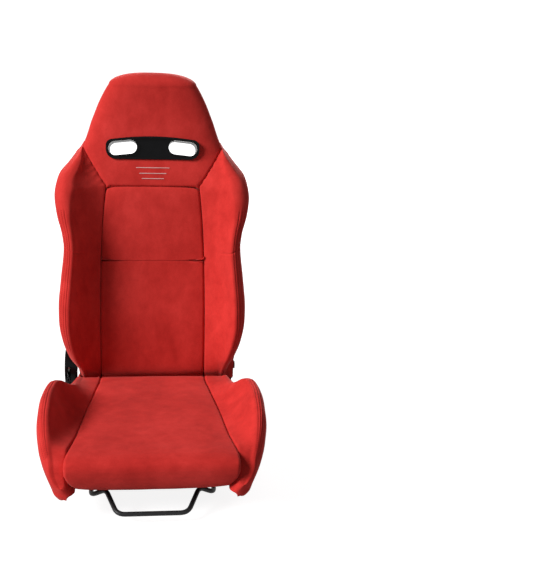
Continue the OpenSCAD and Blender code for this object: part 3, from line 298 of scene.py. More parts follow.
def stitches(name, lines, body):
    """A row of short thread stitches along each line; a line is points and normals."""
    verts, faces = [], []
    for points, ups in lines:
        s = lengths(points)
        for i in range(int(s[-1] / (STITCH + STITCH_GAP))):
            start = (i + 0.5) * (STITCH + STITCH_GAP) - STITCH / 2
            at = start + np.array([0, 0.2, 0.5, 0.8, 1]) * STITCH
            p, up = sample(points, s, at), sample(ups, s, at)
            up /= norm(up, axis=1, keepdims=True)
            along = p[-1] - p[0]
            along /= norm(along)
            across = np.cross(along, up)
            rise = np.array([-0.9, 0.7, 1.0, 0.7, -0.9]) * THREAD_R + THREAD_LIFT
            base = len(verts)
            for k in range(5):
                c = p[k] + up[k] * rise[k]
                for a in range(5):
                    w = 2 * math.pi * a / 5
                    verts.append(c + THREAD_R * (math.cos(w) * across[k] + math.sin(w) * up[k]))
            for k in range(4):
                for a in range(5):
                    b = (a + 1) % 5
                    faces.append((base + 5 * k + a, base + 5 * k + b,
                                  base + 5 * k + 5 + b, base + 5 * k + 5 + a))
            faces.append(tuple(base + a for a in range(5)))
            faces.append(tuple(base + 20 + a for a in range(4, -1, -1)))
    piece(name, verts, faces, THREAD, body)


# ---- materials
def add(nt, kind, **values):
    node = nt.nodes.new(kind)
    for key, value in values.items():
        if key in node.inputs:
            node.inputs[key].default_value = value
        else:
            setattr(node, key, value)
    return node


def noise_node(nt, coord, scale, detail=4.0, rough=0.6, stretch=(1, 1, 1), distortion=0.0):
    place = add(nt, "ShaderNodeMapping")
    place.inputs["Scale"].default_value = stretch
    nt.links.new(coord, place.inputs["Vector"])
    tex = add(nt, "ShaderNodeTexNoise", Scale=scale, Detail=detail, Roughness=rough,
              Distortion=distortion)
    nt.links.new(place.outputs["Vector"], tex.inputs["Vector"])
    return tex.outputs["Fac"]


def math_node(nt, operation, a, b):
    node = add(nt, "ShaderNodeMath", operation=operation)
    for i, v in enumerate((a, b)):
        if isinstance(v, (int, float)):
            node.inputs[i].default_value = v
        else:
            nt.links.new(v, node.inputs[i])
    return node.outputs[0]


def scaled(nt, value, factor, base):
    return math_node(nt, "ADD", math_node(nt, "MULTIPLY", value, factor), base)


def ramp(nt, fac, stops):
    node = add(nt, "ShaderNodeValToRGB")
    elements = node.color_ramp.elements
    while len(elements) < len(stops):
        elements.new(0.5)
    for element, (position, colour) in zip(elements, stops):
        element.position = position
        element.color = (*colour, 1)
    nt.links.new(fac, node.inputs["Fac"])
    return node.outputs["Color"]


def bump(nt, height, strength, distance):
    node = add(nt, "ShaderNodeBump", Strength=strength, Distance=distance)
    nt.links.new(height, node.inputs["Height"])
    return node


def new_material(name, **settings):
    """A material, its nodes, its shader and the object's own coordinates."""
    mat = bpy.data.materials.new(name)
    mat.use_nodes = True
    nt = mat.node_tree
    shader = nt.nodes["Principled BSDF"]
    for key, value in settings.items():
        shader.inputs[key].default_value = value
    return mat, nt, shader, add(nt, "ShaderNodeTexCoord").outputs["Object"]


def suede(name, dark, mid, light, sheen=0.3, streak=(0.75, 1.0, 1.0)):
    mat, nt, shader, coord = new_material(name, **{
        "Specular IOR Level": 0.12, "Sheen Weight": sheen, "Sheen Roughness": 0.45,
        "Sheen Tint": (1.0, 0.42, 0.38, 1)})
    blotch = noise_node(nt, coord, 8, 6, 0.6, streak, 0.2)
    cloud = noise_node(nt, coord, 36, 6, 0.65, streak, 0.2)
    grain = noise_node(nt, coord, 420, 3, 0.7)
    tone = math_node(nt, "MULTIPLY", blotch, 0.5)
    tone = math_node(nt, "ADD", tone, math_node(nt, "MULTIPLY", cloud, 0.32))
    tone = math_node(nt, "ADD", tone, math_node(nt, "MULTIPLY", grain, 0.18))
    nt.links.new(ramp(nt, tone, [(0.38, dark), (0.5, mid), (0.62, light)]),
                 shader.inputs["Base Color"])
    nt.links.new(scaled(nt, cloud, 0.2, 0.78), shader.inputs["Roughness"])
    fibre = bump(nt, noise_node(nt, coord, 900, 2, 0.7), 0.35, 0.0005)
    crease = bump(nt, noise_node(nt, coord, 30, 3, 0.5, streak, 0.8), 0.25, 0.002)
    nt.links.new(fibre.outputs["Normal"], crease.inputs["Normal"])
    nt.links.new(crease.outputs["Normal"], shader.inputs["Normal"])
    return mat


def hard(name, wear, tones, rough, depth, grain, **settings):
    """A worn hard surface.

    wear and grain are noises; the wear runs through the tones and, times rough's first
    value, adds to its second. depth is the strength and distance of the grain's bump."""
    mat, nt, shader, coord = new_material(name, **settings)
    worn = noise_node(nt, coord, *wear)
    nt.links.new(ramp(nt, worn, tones), shader.inputs["Base Color"])
    nt.links.new(scaled(nt, worn, *rough), shader.inputs["Roughness"])
    nt.links.new(bump(nt, noise_node(nt, coord, *grain), *depth).outputs["Normal"],
                 shader.inputs["Normal"])
    return mat


def shades(colour, *stops):
    """Stops of a ramp: each has a position and a factor for the colour."""
    return [(position, [c * factor for c in colour]) for position, factor in stops]


def plastic(name, colour, rough, shine, coat):
    return hard(name, (60, 5, 0.6), shades(colour, (0.3, 0.8), (0.7, 1.5)), (0.16, rough - 0.08),
                (0.08, 0.0004), (380, 2),
                **{"Specular IOR Level": shine, "Coat Weight": coat, "Coat Roughness": 0.1})


RED = suede("suede_red", (0.48, 0.019, 0.016), (0.60, 0.029, 0.024), (0.72, 0.042, 0.036))
# The backrest's suede is the seat's red mixed lighter: painted light that brightens the upright
# pieces. Its streaks run the other way, as its nap does.
RED_BACK_PAINTED_LIGHTER = suede("suede_red_upright_painted_lighter", (0.52, 0.022, 0.018), (0.64, 0.034, 0.028),
                 (0.76, 0.048, 0.041), streak=(1.0, 1.0, 0.7))
THREAD = suede("thread_red", (0.3, 0.01, 0.01), (0.4, 0.016, 0.016), (0.5, 0.03, 0.03), 0.2)
STRIPE = suede("stripe_ink", (0.62, 0.3, 0.28), (0.72, 0.42, 0.4), (0.82, 0.56, 0.54), 0.1)
GLOSS = plastic("gloss_black", (0.003, 0.003, 0.0035), 0.2, 0.08, 0.03)
# The sleeves are black plastic; their grey base colour is a painted reflection of light on the
# slots' inner walls.
SLEEVE_PAINTED_REFLECTION = plastic("sleeve_plastic_painted_reflection", (0.22, 0.22, 0.22), 0.45, 0.2, 0.0)
PAINT = hard("black_paint", (90, 6, 0.65),
             shades((0.012, 0.012, 0.013), (0.32, 0.75), (0.72, 1.7)), (0.2, 0.28),
             (0.12, 0.0004), (520, 3), **{"Specular IOR Level": 0.22})
ZINC = hard("zinc_steel", (70, 6, 0.65), [(0.3, (0.42, 0.4, 0.36)), (0.7, (0.68, 0.67, 0.64))],
            (0.3, 0.2), (0.1, 0.0003), (600, 3, 0.6, (1, 0.15, 1)), Metallic=1.0)


# ---- padded pieces
def strip(profile, half, inside, inside_half, crown, roll, seed, ripple):
    """A padded piece that runs along a profile (y, z) and lies across X.

    half is the half width at each row, inside the profile of the unseen face and crown
    how far the row falls from its middle to its seams, which roll over by roll."""
    n = len(profile)
    tangent = np.gradient(profile, axis=0)
    tangent /= np.maximum(norm(tangent, axis=1, keepdims=True), 1e-9)
    out = np.stack([tangent[:, 1], -tangent[:, 0]], axis=1)
    core = np.sin(np.linspace(-math.pi / 2, math.pi / 2, 41))
    mirror = np.array([-1, 1, 1])
    outer, inner = [], []
    for i in range(n):
        w, wq, r = half[i], inside_half[i], min(roll, 0.4 * half[i])
        edge = [(w - r + r * math.sin(a), -r * (1 - math.cos(a)))
                for a in np.radians(np.linspace(15, 90, 6))]
        row = []
        for x, h in ([(-x, h) for x, h in edge[::-1]] + [(t * (w - r), 0.0) for t in core] + edge):
            t = min(1.0, abs(x) / w)
            c = crown[i] * (t ** 6 + 0.35 * t * t) / 1.35
            row.append(np.array([x, *(profile[i] + out[i] * (h - c))]))
        side = [mix(row[-1], np.array([wq, *inside[i]]), t) for t in (0.12, 0.35, 0.65, 1.0)]
        row = [p * mirror for p in side[::-1]] + row + side
        outer.append(row)
        inner.append([(x, *inside[i]) for x in np.linspace(-wq, wq, len(row))])
    outer = np.array(outer)
    k = outer.shape[1]
    visible = np.zeros(k)
    visible[4:-4] = 1
    up = normals(outer)
    facing = np.dot(up[n // 2, k // 2], np.array([0, *out[n // 2]]))
    up = up * (1 if facing > 0 else -1)
    wave = waves(outer, (55, seed, 0.6), (23, seed + 7, 0.3)) * ripple
    return outer + up * (wave * visible[None, :])[..., None], np.array(inner)


def polyline(points, step):
    """A dense line through points (y, z, cut); each inner corner is rounded from its cut."""
    points = np.array(points, float)
    at, cuts = points[:, :2], points[:, 2]
    out = [at[0]]
    for a, p, b, cut in zip(at, at[1:], at[2:], cuts[1:]):
        if cut <= 0:
            out.append(p)
            continue
        start, end = (p + (q - p) / norm(q - p) * min(cut, 0.49 * norm(q - p))
                      for q in (a, b))
        out += [start] + bend(start, p, end, max(4, int(cut / 1.5)))
    out.append(at[-1])
    dense = [out[0]]
    for a, b in zip(out[:-1], out[1:]):
        count = max(1, int(norm(b - a) / step))
        dense += [mix(a, b, k / count) for k in range(1, count + 1)]
    return np.array(dense)


def nearest(profile, table):
    """Values of a table of (y, z, value...) at each profile point, by the place along it."""
    table = np.asarray(table, float)
    keys, s = lengths(table[:, :2]), lengths(profile)
    return sample(table[:, 2:], keys, s / s[-1] * keys[-1])


def seat_cushion():
    # y, z and corner cut of the face, then y and z of the unseen one, then how far the
    # row's ends draw in
    rows = [[196, 79.5, 0, 188, 82, 0], [212, 79.5, 8, 190, 82, 0], [212, 121.5, 7, 190, 90, 0]]
    rows += [[y, foot_z(y, TROUGH_R), 0, y, 82, 0] for y in
             (200, 188, 175, 162, 150, 138, 126, 114, 104, 95, 88, 82, 78)]
    rows += [[73.6, seat_top(74) + 0.4, 7, 66, 88, 0]]
    rows += [[y, seat_top(y) + 1 + 3.5 * (y + 262) * (74 - y) / 168 ** 2, 0, y, 110.5, 0]
             for y in (60, 30, 0, -40, -80, -120, -160, -200, -235)]
    rows += [[-262, 165.6, 0, -262, 110.5, 0], [-288, 164.6, 0, -283, 110, 0],
             [-305, 162.8, 0, -284, 108.5, 0], [-318, 159.6, 0, -284, 107, 0],
             [-327, 154.6, 0, -285, 105, 0], [-333.5, 147, 0, -285, 103, 0],
             [-336.5, 137, 0, -285, 101, 0], [-336.5, 123, 0, -286, 98, 1],
             [-334.5, 109, 0, -286, 93, 6], [-331, 96, 0, -286, 89, 14],
             [-325.5, 86, 0, -287, 86, 22], [-316, 80.5, 0, -287, 84.5, 27],
             [-300, 81, 0, -288, 84, 28]]
    profile = polyline([r[:3] for r in rows], 4)
    info = nearest(profile, rows)
    inside, draw_in = info[:, 1:3], info[:, 3]
    half = seam_x(profile[:, 0]) - GAP / 2 - draw_in
    inside_half = np.minimum(seam_x(inside[:, 0]) - GAP / 2, half + 2)
    crown = np.where(profile[:, 0] > 64, 0.3, 5.5)
    crown = np.convolve(np.pad(crown, 3, mode="edge"), np.ones(7) / 7, mode="valid")
    outer, inner = strip(profile, half, inside, inside_half, crown, roll=7, seed=3, ripple=0.7)
    obj = piece("seat_cushion", *loft(outer, inner), RED, "seat")
    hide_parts("seat_centre_pad")


def back_panel(name, z0, z1, seed, foot, corner):
    """One sewn field of the backrest's middle, from z1 down to z0 or round the foot.

    corner is the radius of its upper corners."""
    thick = 54.5

    def face(z):
        dip = (0.5 if foot else 3.5) * math.exp(-(z1 - z) / 9)
        dip += 13 * math.exp(-(max(z, 158) - 158) / 8) if foot else 0.5 * math.exp(-(z - z0) / 9)
        return front_y(z) + dip + 0.6
    rows = [[front_y(z1) + 30, z1 - 0.3, 0, front_y(z1) + thick, z1 - 0.3, 0],
            [face(z1) - 0.5, z1 - 0.3, 0.9 if foot else 4.5, front_y(z1) + thick, z1 - 0.3, 0]]
    low = 136 if foot else z0 + 6
    rows += [[face(z), z, 0, front_y(z) + thick, z, 0] for z in np.arange(z1 - 6, low, -6)]
    if foot:
        rows.append([front_y(125) + 10, 121, 9, 144, 128, 0])
        rows += [[y, foot_z(y, FOOT_R), 0, 145, mix(126, 92, (y - 96) / 48), 0]
                 for y in (104, 113, 122, 131, 140, 144)]
    else:
        rows += [[face(z0) - 0.5, z0 + 0.3, 0.9, front_y(z0) + thick, z0 + 0.3, 0],
                 [front_y(z0) + 30, z0 + 0.3, 0, front_y(z0) + thick, z0 + 0.3, 0]]
    profile = polyline([r[:3] for r in rows], 3.5)
    info = nearest(profile, rows)
    half = np.array([panel_half(z) for z in profile[:, 1]]) - GAP / 2
    if corner:
        d = np.clip(profile[:, 1] - (z1 - corner), 0, corner)
        half = half - (corner - np.sqrt(corner ** 2 - d ** 2))
    crown = 4.5 * np.clip((profile[:, 1] - 118) / 40, 0.1, 1)
    outer, inner = strip(profile, half, info[:, 1:3], half, crown, roll=6, seed=seed, ripple=0.6)
    obj = piece(name, *loft(outer, inner), RED_BACK_PAINTED_LIGHTER, "backrest")
    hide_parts("back_centre_pad")


def with_rolls(outer, start_wall, end_wall, cut, depth):
    """An open section with its two ends rolled over into their seams.

    outer is the section; the walls are the unit directions into each seam."""
    outer = np.array(outer)
    s = lengths(outer)
    total = s[-1]
    cut = min(cut, 0.2 * total)

    def at(v):
        return sample(outer, s, v)
    first, last = outer[0], outer[-1]
    start, end = np.array(start_wall, float), np.array(end_wall, float)
    head = [first + start * depth, first + start * (depth + cut) / 2, first + start * cut]
    head += bend(head[-1], first, at(cut), 6)
    tail_start = at(total - cut)
    tail = [tail_start] + bend(tail_start, last, last + end * cut, 6)
    tail += [last + end * (depth + cut) / 2, last + end * depth]
    body = [at(v) for v in (cut + (total - 2 * cut) * s / total)[1:-1]]
    return np.array(head + body + tail)


def ribs(along, columns, span, at):
    """Depth of the sewn grooves that run along some columns of a grid of points."""
    j = np.arange(columns)
    groove = sum(np.exp(-((j - k) / 1.1) ** 2) for k in at)
    fade = np.clip((along - span[0]) / 12, 0, 1) * np.clip((span[1] - along) / 12, 0, 1)
    return 1.5 * fade[:, None] * groove[None, :]


def smooth_step(t):
    return t * t * (3 - 2 * t)


def wing_section(y):
    """Outer and inner lines (x, z) of the cushion's bolster at distance y."""
    seam, xo = seam_x(y) + GAP / 2, wing_x(y)
    top = foot_z(y, TROUGH_R) if y > PIVOT[0] - TROUGH_R else 999.0
    zc, zf = min(wing_z(y), top), wing_foot(y)
    h = zc - zf
    zs = min(seat_top(y) - 2, top, zc)
    # At the front the seam follows the nose's rounded lower corner
    tip = min(1.0, max(0.0, (-y - 286) / 8))
    xs = seam - tip * nose_in(zs)
    zl = ledge_z(y) - GAP
    high = max(0.0, zc - SEAT_Z)
    soft = min(6, 0.4 * (xo - xs), 0.12 * h)
    xc = mix(xs, xo, CREST)
    narrow = min(xs - 1, max(foot_x(y), 126.0))
    foot = max(mix(xs, xo, 0.1), min(mix(xs, xo, 0.92) - 0.75 * high, wing_low_x(y)))
    lo = min(mix(zl, 85, tip), zs - 4)
    zb = zc - 0.3 * h - soft
    crest = min(zc - soft / 2, top)
    outer = [np.array([xs, zs])]
    outer += bend([xs, zs], [mix(xs, xc, 0.55), zs + 0.15 * high], [xc - soft, crest], 22)
    outer += bend([xc - soft, crest], [xc + soft, zc + min(4, top - zc)],
                  [mix(xc, xo, 0.6), min(zc - 0.6 * soft, top)], 24)
    outer += bend([mix(xc, xo, 0.6), min(zc - 0.6 * soft, top)], [xo + soft / 3, mix(zc, zb, 0.4)],
                  [xo, zb], 24)
    outer += bend([xo, zb], [mix(foot, xo, 0.8), mix(zf, zc, 0.3)], [foot, zf], 20)
    deep = mix(min(10.0, 0.3 * h), 4, tip)
    rise = min(mix(3, 27, min(1.0, max(0.0, (-y - 250) / 44))), max(3.0, lo - zf - deep - 1))
    outer += bend([foot, zf], [mix(foot, narrow, 0.4), zf], [narrow + 2, zf + rise], 8)
    cut = min(5.0, 0.1 * h, 0.25 * (xo - xs))
    line = with_rolls(outer, (0, -1), (0, 1), cut, deep)
    m = len(line)
    inner = [(max(narrow, seam - tip * nose_in(t)), t)
             for t in np.linspace(line[0][1], lo, m // 2)]
    inner += [(mix(inner[-1][0], narrow, t), lo) for t in np.linspace(0, 1, m // 4)[1:]]
    rest = m - len(inner)
    inner += [(narrow, t) for t in np.linspace(lo, line[-1][1], rest + 1)[1:]]
    inner[0] = tuple(line[0])
    return line, np.array(inner)


def tip_line(y, z):
    """Where the wing's front end closes, a little outside the nose's side."""
    return seam_x(y) - nose_in(z) + 21


def seat_wing(name, s):
    """The cushion's bolster on the side s of the middle."""
    ys = np.concatenate([np.linspace(211, 80, 34), [77.5, 76, 75.2, 74.8, 74.4, 73.5, 72],
                         np.linspace(69, TIP_Y, 105)])
    sections = zip(*(wing_section(y) for y in ys))
    outer, inner = (np.array([[(x, y, z) for x, z in line] for y, line in zip(ys, lines)])
                    for lines in sections)
    # The ear's rear slope runs forward from the seam to its crest
    for grid in (outer, inner):
        y = grid[..., 1]
        seam, rim = seam_x(y), mix(seam_x(y), wing_x(y), CREST)
        near = 1 - np.clip((grid[..., 0] - seam) / (rim - seam), 0, 1)
        into, off = np.clip((y + 190) / 80, 0, 1), np.clip((74 - y) / 94, 0, 1)
        moved = y + 34 * near * smooth_step(into) * smooth_step(off)
        grid[..., 0] += (seam_x(moved) - seam) * near
        grid[..., 1] = moved
    m = outer.shape[1]
    fixed = edge_columns(m)
    outer = relax(outer, fixed, 3)
    up = normals(outer)
    if up[80, 40, 2] < 0:
        up = -up
    wave = waves(outer, (60, 11 + s, 0.5), (26, 17 + s, 0.25))
    wave = wave - ribs(ys, m, (TIP_Y, -60), WING_RIBS)
    outer = outer + up * (wave * shown_columns(m)[None, :])[..., None]
    # The front end closes round against the nose's side
    low0, top0 = wing_foot(TIP_Y), wing_z(TIP_Y)
    ends = ([], [])
    for a in np.radians(np.linspace(0, 90, 14)[1:]):
        y = TIP_Y - TIP_LEN * math.sin(a)
        low, top, k = wing_foot(y), wing_z(y), max(0.04, math.cos(a))
        for rows, out in zip((outer[-1], inner[-1]), ends):
            z = mix(low, top, (rows[:, 2] - low0) / (top0 - low0))
            x = tip_line(y, z) + (rows[:, 0] - tip_line(TIP_Y, rows[:, 2])) * k
            out.append(np.stack([x, np.full(len(x), y), z], axis=1))
    outer, inner = np.concatenate([outer, ends[0]]), np.concatenate([inner, ends[1]])
    fixed[4:-3] = False
    outer[-24:] = relax(outer[-24:], fixed, 5)
    flip = np.array([s, 1, 1])
    obj = piece(name, *loft(outer * flip, inner * flip), RED, "seat")
    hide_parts("seat_bolster_left" if s > 0 else "seat_bolster_right")
    rows = slice(np.searchsorted(-ys, 66), np.searchsorted(-ys, 296))
    lines = [(outer[rows, j] * flip, up[rows, j] * flip) for j in WING_RIBS]
    stitches(name + "_thread", lines, "seat")


def back_section(z, s):
    """Outer and inner lines (x, y) of the backrest's bolster at height z."""
    w, xs, high = back_w(z), diag_x(z) + GAP / 2, z > HEAD_Z
    # Over the hinge's arm the cover is a little wider
    w += 6 * math.exp(-((z - 180) / 22) ** 2) if s > 0 else 0
    yf = head_y(xs, z, -1) - 2 if high else front_y(z)
    yr = rear_y(z)
    b = bulge(z)
    soft = min(5 + 7 * max(0.0, min(1.0, (z - 540) / 100)), 0.25 * (w - xs))
    xc = mix(xs, w, CREST)
    yc = yf - b
    xr = min(rear_seam(z), w - 3) + GAP
    wall = min(48, 0.6 * (w - xs))
    xw = max(xs + 1, w - wall)
    rc = min(44, 0.6 * (w - min(xr, xs)))
    deep = pad_t(z) - (10 if high else 0)
    back = yr - REAR_T - GAP
    outer = [np.array([xs, yf + 5])]
    outer += bend([xs, yf + 5], [mix(xs, xc, 0.5), yf - 0.1 * b], [xc - soft, yc + 4], 22)
    outer += bend([xc - soft, yc + 4], [xc + soft, yc - 5], [mix(xc, w, 0.75), yc + 14], 28)
    outer += bend([mix(xc, w, 0.75), yc + 14], [w + soft / 5, yc + 28],
                  [w, mix(yc + 28, yf + 40, 0.7)], 22)
    side_y = yr - 1.6 * rc
    last = outer[-1]
    outer += [mix(last, np.array([w, side_y]), t) for t in (0.25, 0.5, 0.75, 1.0)]
    outer += bend([w, side_y], [w - 0.1 * rc, yr - 0.2 * rc], [max(xr + 1, w - rc), yr - 1], 16)
    a = outer[-1]
    outer += [mix(a, np.array([xr, yr]), t) for t in (0.25, 0.5, 0.75, 1.0)]
    cut = min(5.0, 0.2 * (w - xs))
    line = with_rolls(outer, (0, 1), (0, -1), cut, min(12.0, 0.3 * (yr - yf)))
    a, c = line[0], line[-1]
    inner = np.array([a, (xs, max(a[1], yf + deep)), (xw, yf + deep), (xw, back), (c[0], back), c])
    s = lengths(inner)
    return line, sample(inner, s, np.linspace(0, s[-1], len(line)))


def back_wing(name, s):
    """The backrest's bolster on the side s of the middle."""
    zs = np.concatenate([[720, 719, 717.5, 715, 712, 709, 706], np.linspace(702, 640, 22),
                         [637, 635.5, 634, 632], np.linspace(628, 526, 28),
                         np.linspace(524, 478, 32), np.linspace(474, 176, 78)])
    # Each row's height, and how far it is level rather than on the foot's arc
    rows = [(z, 1.0) for z in zs] + list(zip(np.linspace(172, 168, 12), np.linspace(1, 0, 12)))
    outer, inner = [], []
    for z, level in rows:
        for line, grid in zip(back_section(z, s), (outer, inner)):
            grid.append([(x, y, mix(foot_z(np.clip(y, 76.5, 223.5), FOOT_R), z, level))
                         for x, y in line])
    outer, inner = np.array(outer), np.array(inner)
    m = outer.shape[1]
    outer = relax(outer, edge_columns(m), 4)
    # The lower end is rounded away from the cushion
    end = 13 * np.exp(-(np.maximum(outer[..., 2], 158) - 158) / 8)
    outer[..., 1] += end * np.clip((170 - outer[..., 1]) / 60, 0, 1)
    up = normals(outer)
    if up[80, 40, 1] > 0:
        up = -up
    wave = waves(outer, (60, 21 + s, 0.5), (26, 27 + s, 0.25))
    levels = np.array([z for z, _ in rows])
    wave = wave - ribs(levels, m, (250, 600), BACK_RIBS)
    # The waist seam crosses the bolster to its outer side
    share = (outer[..., 0] - 120) / (back_w(outer[..., 2]) - 120)
    off = outer[..., 2] - (484 + 46 * (share - 0.45))
    wave = wave - 1.6 * np.exp(-(off / 2.2) ** 2) * np.clip((share - 0.4) / 0.15, 0, 1)
    if s > 0:
        # The hinge's arm lies under the cover
        x, y, z = outer[..., 0], outer[..., 1], outer[..., 2]
        off = np.abs(y - PIVOT[0] - (z - PIVOT[1]) * math.tan(math.radians(8)))
        cover = np.clip((40 - off) / 20, 0, 1)
        cover = cover * np.clip((348 - z) / 24, 0, 1) * np.clip((z - 150) / 14, 0, 1)
        round_part = np.clip((46 - np.hypot(y - PIVOT[0], z - PIVOT[1])) / 16, 0, 1)
        cover = smooth_step(np.maximum(cover, round_part))
        reach = 211 + 3.2 * np.clip((z - 195) / 20, 0, 1)
        outer[..., 0] = np.where(x > 0.9 * back_w(z), mix(x, np.maximum(x, reach), cover), x)
    # Fine creases run out from the slanted seam with the head
    x, z = outer[..., 0], outer[..., 2]
    x, z = x - PANEL_HIGH, z - HEAD_Z
    off = x * 0.829 - z * 0.559
    pull = np.exp(-np.maximum(off, 0) / 16) * np.clip((z + 7) / 20, 0, 1)
    pull = pull * np.clip((77 - z) / 15, 0, 1)
    wave = wave + 0.9 * pull * np.sin((x * 0.559 + z * 0.829) / 2.6 + 2 * noise(outer / 20, 5))
    wave = wave * np.clip((720 - levels) / 14, 0, 1)[:, None]
    outer = outer + up * (wave * shown_columns(m)[None, :])[..., None]
    flip = np.array([s, 1, 1])
    obj = piece(name, *loft(outer * flip, inner * flip), RED_BACK_PAINTED_LIGHTER, "backrest")
    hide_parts("back_bolster_left" if s > 0 else "back_bolster_right")
    cut_bolster(obj, s)
    rows = slice(np.searchsorted(-zs, -596), np.searchsorted(-zs, -254))
    lines = [(outer[rows, j] * flip, up[rows, j] * flip) for j in BACK_RIBS]
    stitches(name + "_thread", lines, "backrest")


def prism_faces(n):
    """Faces of a prism over an outline of n points."""
    return ([tuple(range(n)), tuple(range(2 * n - 1, n - 1, -1))]
            + [(i, (i + 1) % n, n + (i + 1) % n, n + i) for i in range(n)])


def prism_x(x0, x1, ring):
    """A prism along X from an outline (y, z)."""
    return [(x, *p) for x in (x0, x1) for p in ring], prism_faces(len(ring))


def pivot_tube(x0, x1, r):
    """A round prism about the recline axis."""
    turns = [2 * math.pi * i / 48 for i in range(48)]
    return prism_x(x0, x1, [(PIVOT[0] + r * math.cos(a), PIVOT[1] + r * math.sin(a))
                            for a in turns])


def carve(obj, shapes):
    """Cuts the shapes out of a piece."""
    for verts, faces in shapes:
        tool = new_object("cutter", new_mesh("cutter", verts, faces))
        mod = obj.modifiers.new("cut", "BOOLEAN")
        mod.operation = "DIFFERENCE"
        mod.solver = "EXACT"
        mod.object = tool
        bpy.context.view_layer.update()
        graph = bpy.context.evaluated_depsgraph_get()
        mesh = bpy.data.meshes.new_from_object(obj.evaluated_get(graph))
        obj.modifiers.clear()
        obj.data = mesh
        bpy.data.objects.remove(tool)
    for polygon in obj.data.polygons:
        polygon.use_smooth = True
    obj.data.set_sharp_from_angle(angle=math.radians(50))


def cut_bolster(obj, s):
    """Room for the recliner on the right side, and for the hinge on the left."""
    if s < 0:
        shapes = [pivot_tube(-188.7, -300, 55.5),
                  prism_x(-203, -300, [(135, 100), (330, 100), (330, 324), (135, 324)])]
    else:
        shapes = [pivot_tube(198.3, 300, 34), pivot_tube(188, 300, 14)]
    carve(obj, shapes)


# ---- head
def head_y(x, z, way):
    """The head's surface at x and z, in front with way -1 and behind with 1."""
    w, f, r = back_w(z), front_y(z), rear_y(z)
    half = (r - f) / 2
    return f + half + way * half * arch(abs(x) / w, HEAD_P)


def corner_drop(x):
    """How far the head's lower edge drops round the panel's upper corners."""
    over = min(CORNER_R, max(0.0, abs(x) - PANEL_HIGH + CORNER_R))
    return CORNER_R - math.sqrt(CORNER_R ** 2 - over ** 2)


def head_foot(x):
    """Lowest height of the head's front at x: the panel's edge, then the slanted seam."""
    if abs(x) <= HEAD_HALF:
        return HEAD_LOW - corner_drop(x)
    return HEAD_LOW + (abs(x) - HEAD_HALF) * 86 / 58


def head_ring(z, across, walls):
    """The head's outline at height z: its front, its left side, its rear, its right side."""
    w = back_w(z)
    dip = max(0.0, 1 - (z - HEAD_LOW) / 21.75)
    xf = xr = 0.998 * w
    if z < 725:
        # Behind, the lowest levels spread down to the arched seam
        low = max(z, 657.0) - 52 * dip if z < 660 else z
        xf, xr = min(diag_x(z) - GAP / 2, xf), min(rear_seam(low) - GAP / 2, xr)
    front = [(t * xf, head_y(t * xf, z, -1),
              max(z - corner_drop(t * xf) * math.exp((HEAD_LOW - z) / 5), head_foot(t * xf)))
             for t in across]
    rear = []
    for t in across[::-1]:
        x = t * xr
        zr = mix(z, arch_z(x) + 0.6, dip) if dip > 0 else z
        rear.append((x, head_y(x, zr, 1), zr))
    left = [tuple(mix(np.array(front[-1]), np.array(rear[0]), t)) for t in walls]
    right = [tuple(mix(np.array(rear[-1]), np.array(front[0]), t)) for t in walls]
    if z >= 700:
        half = (rear_y(z) - front_y(z)) / 2
        mid = (rear_y(z) + front_y(z)) / 2

        def side(p, way):
            limit = w * arch(abs(p[1] - mid) / half, HEAD_P)
            return (way * min(limit, 999 if z > 722 else abs(p[0])), p[1], p[2])
        left, right = [side(p, 1) for p in left], [side(p, -1) for p in right]
    return front + left + rear + right


def seam_distance(x, z, a, b, past):
    """Distance from points (x, z) to the seam from a to b, which runs on past b."""
    a, b = np.array(a, float), np.array(b, float)
    along = (b - a) / norm(b - a)
    rel = np.stack([x - a[0], z - a[1]], axis=-1)
    reach = np.clip(rel @ along, 0, norm(b - a) + past)
    return norm(rel - reach[..., None] * along, axis=-1)


def rolled_edge(dist, r):
    """How far a rolled edge falls away at a distance from its seam."""
    return np.where(dist < r, r - np.sqrt(np.maximum(0, r * r - (r - np.minimum(dist, r)) ** 2)), 0)


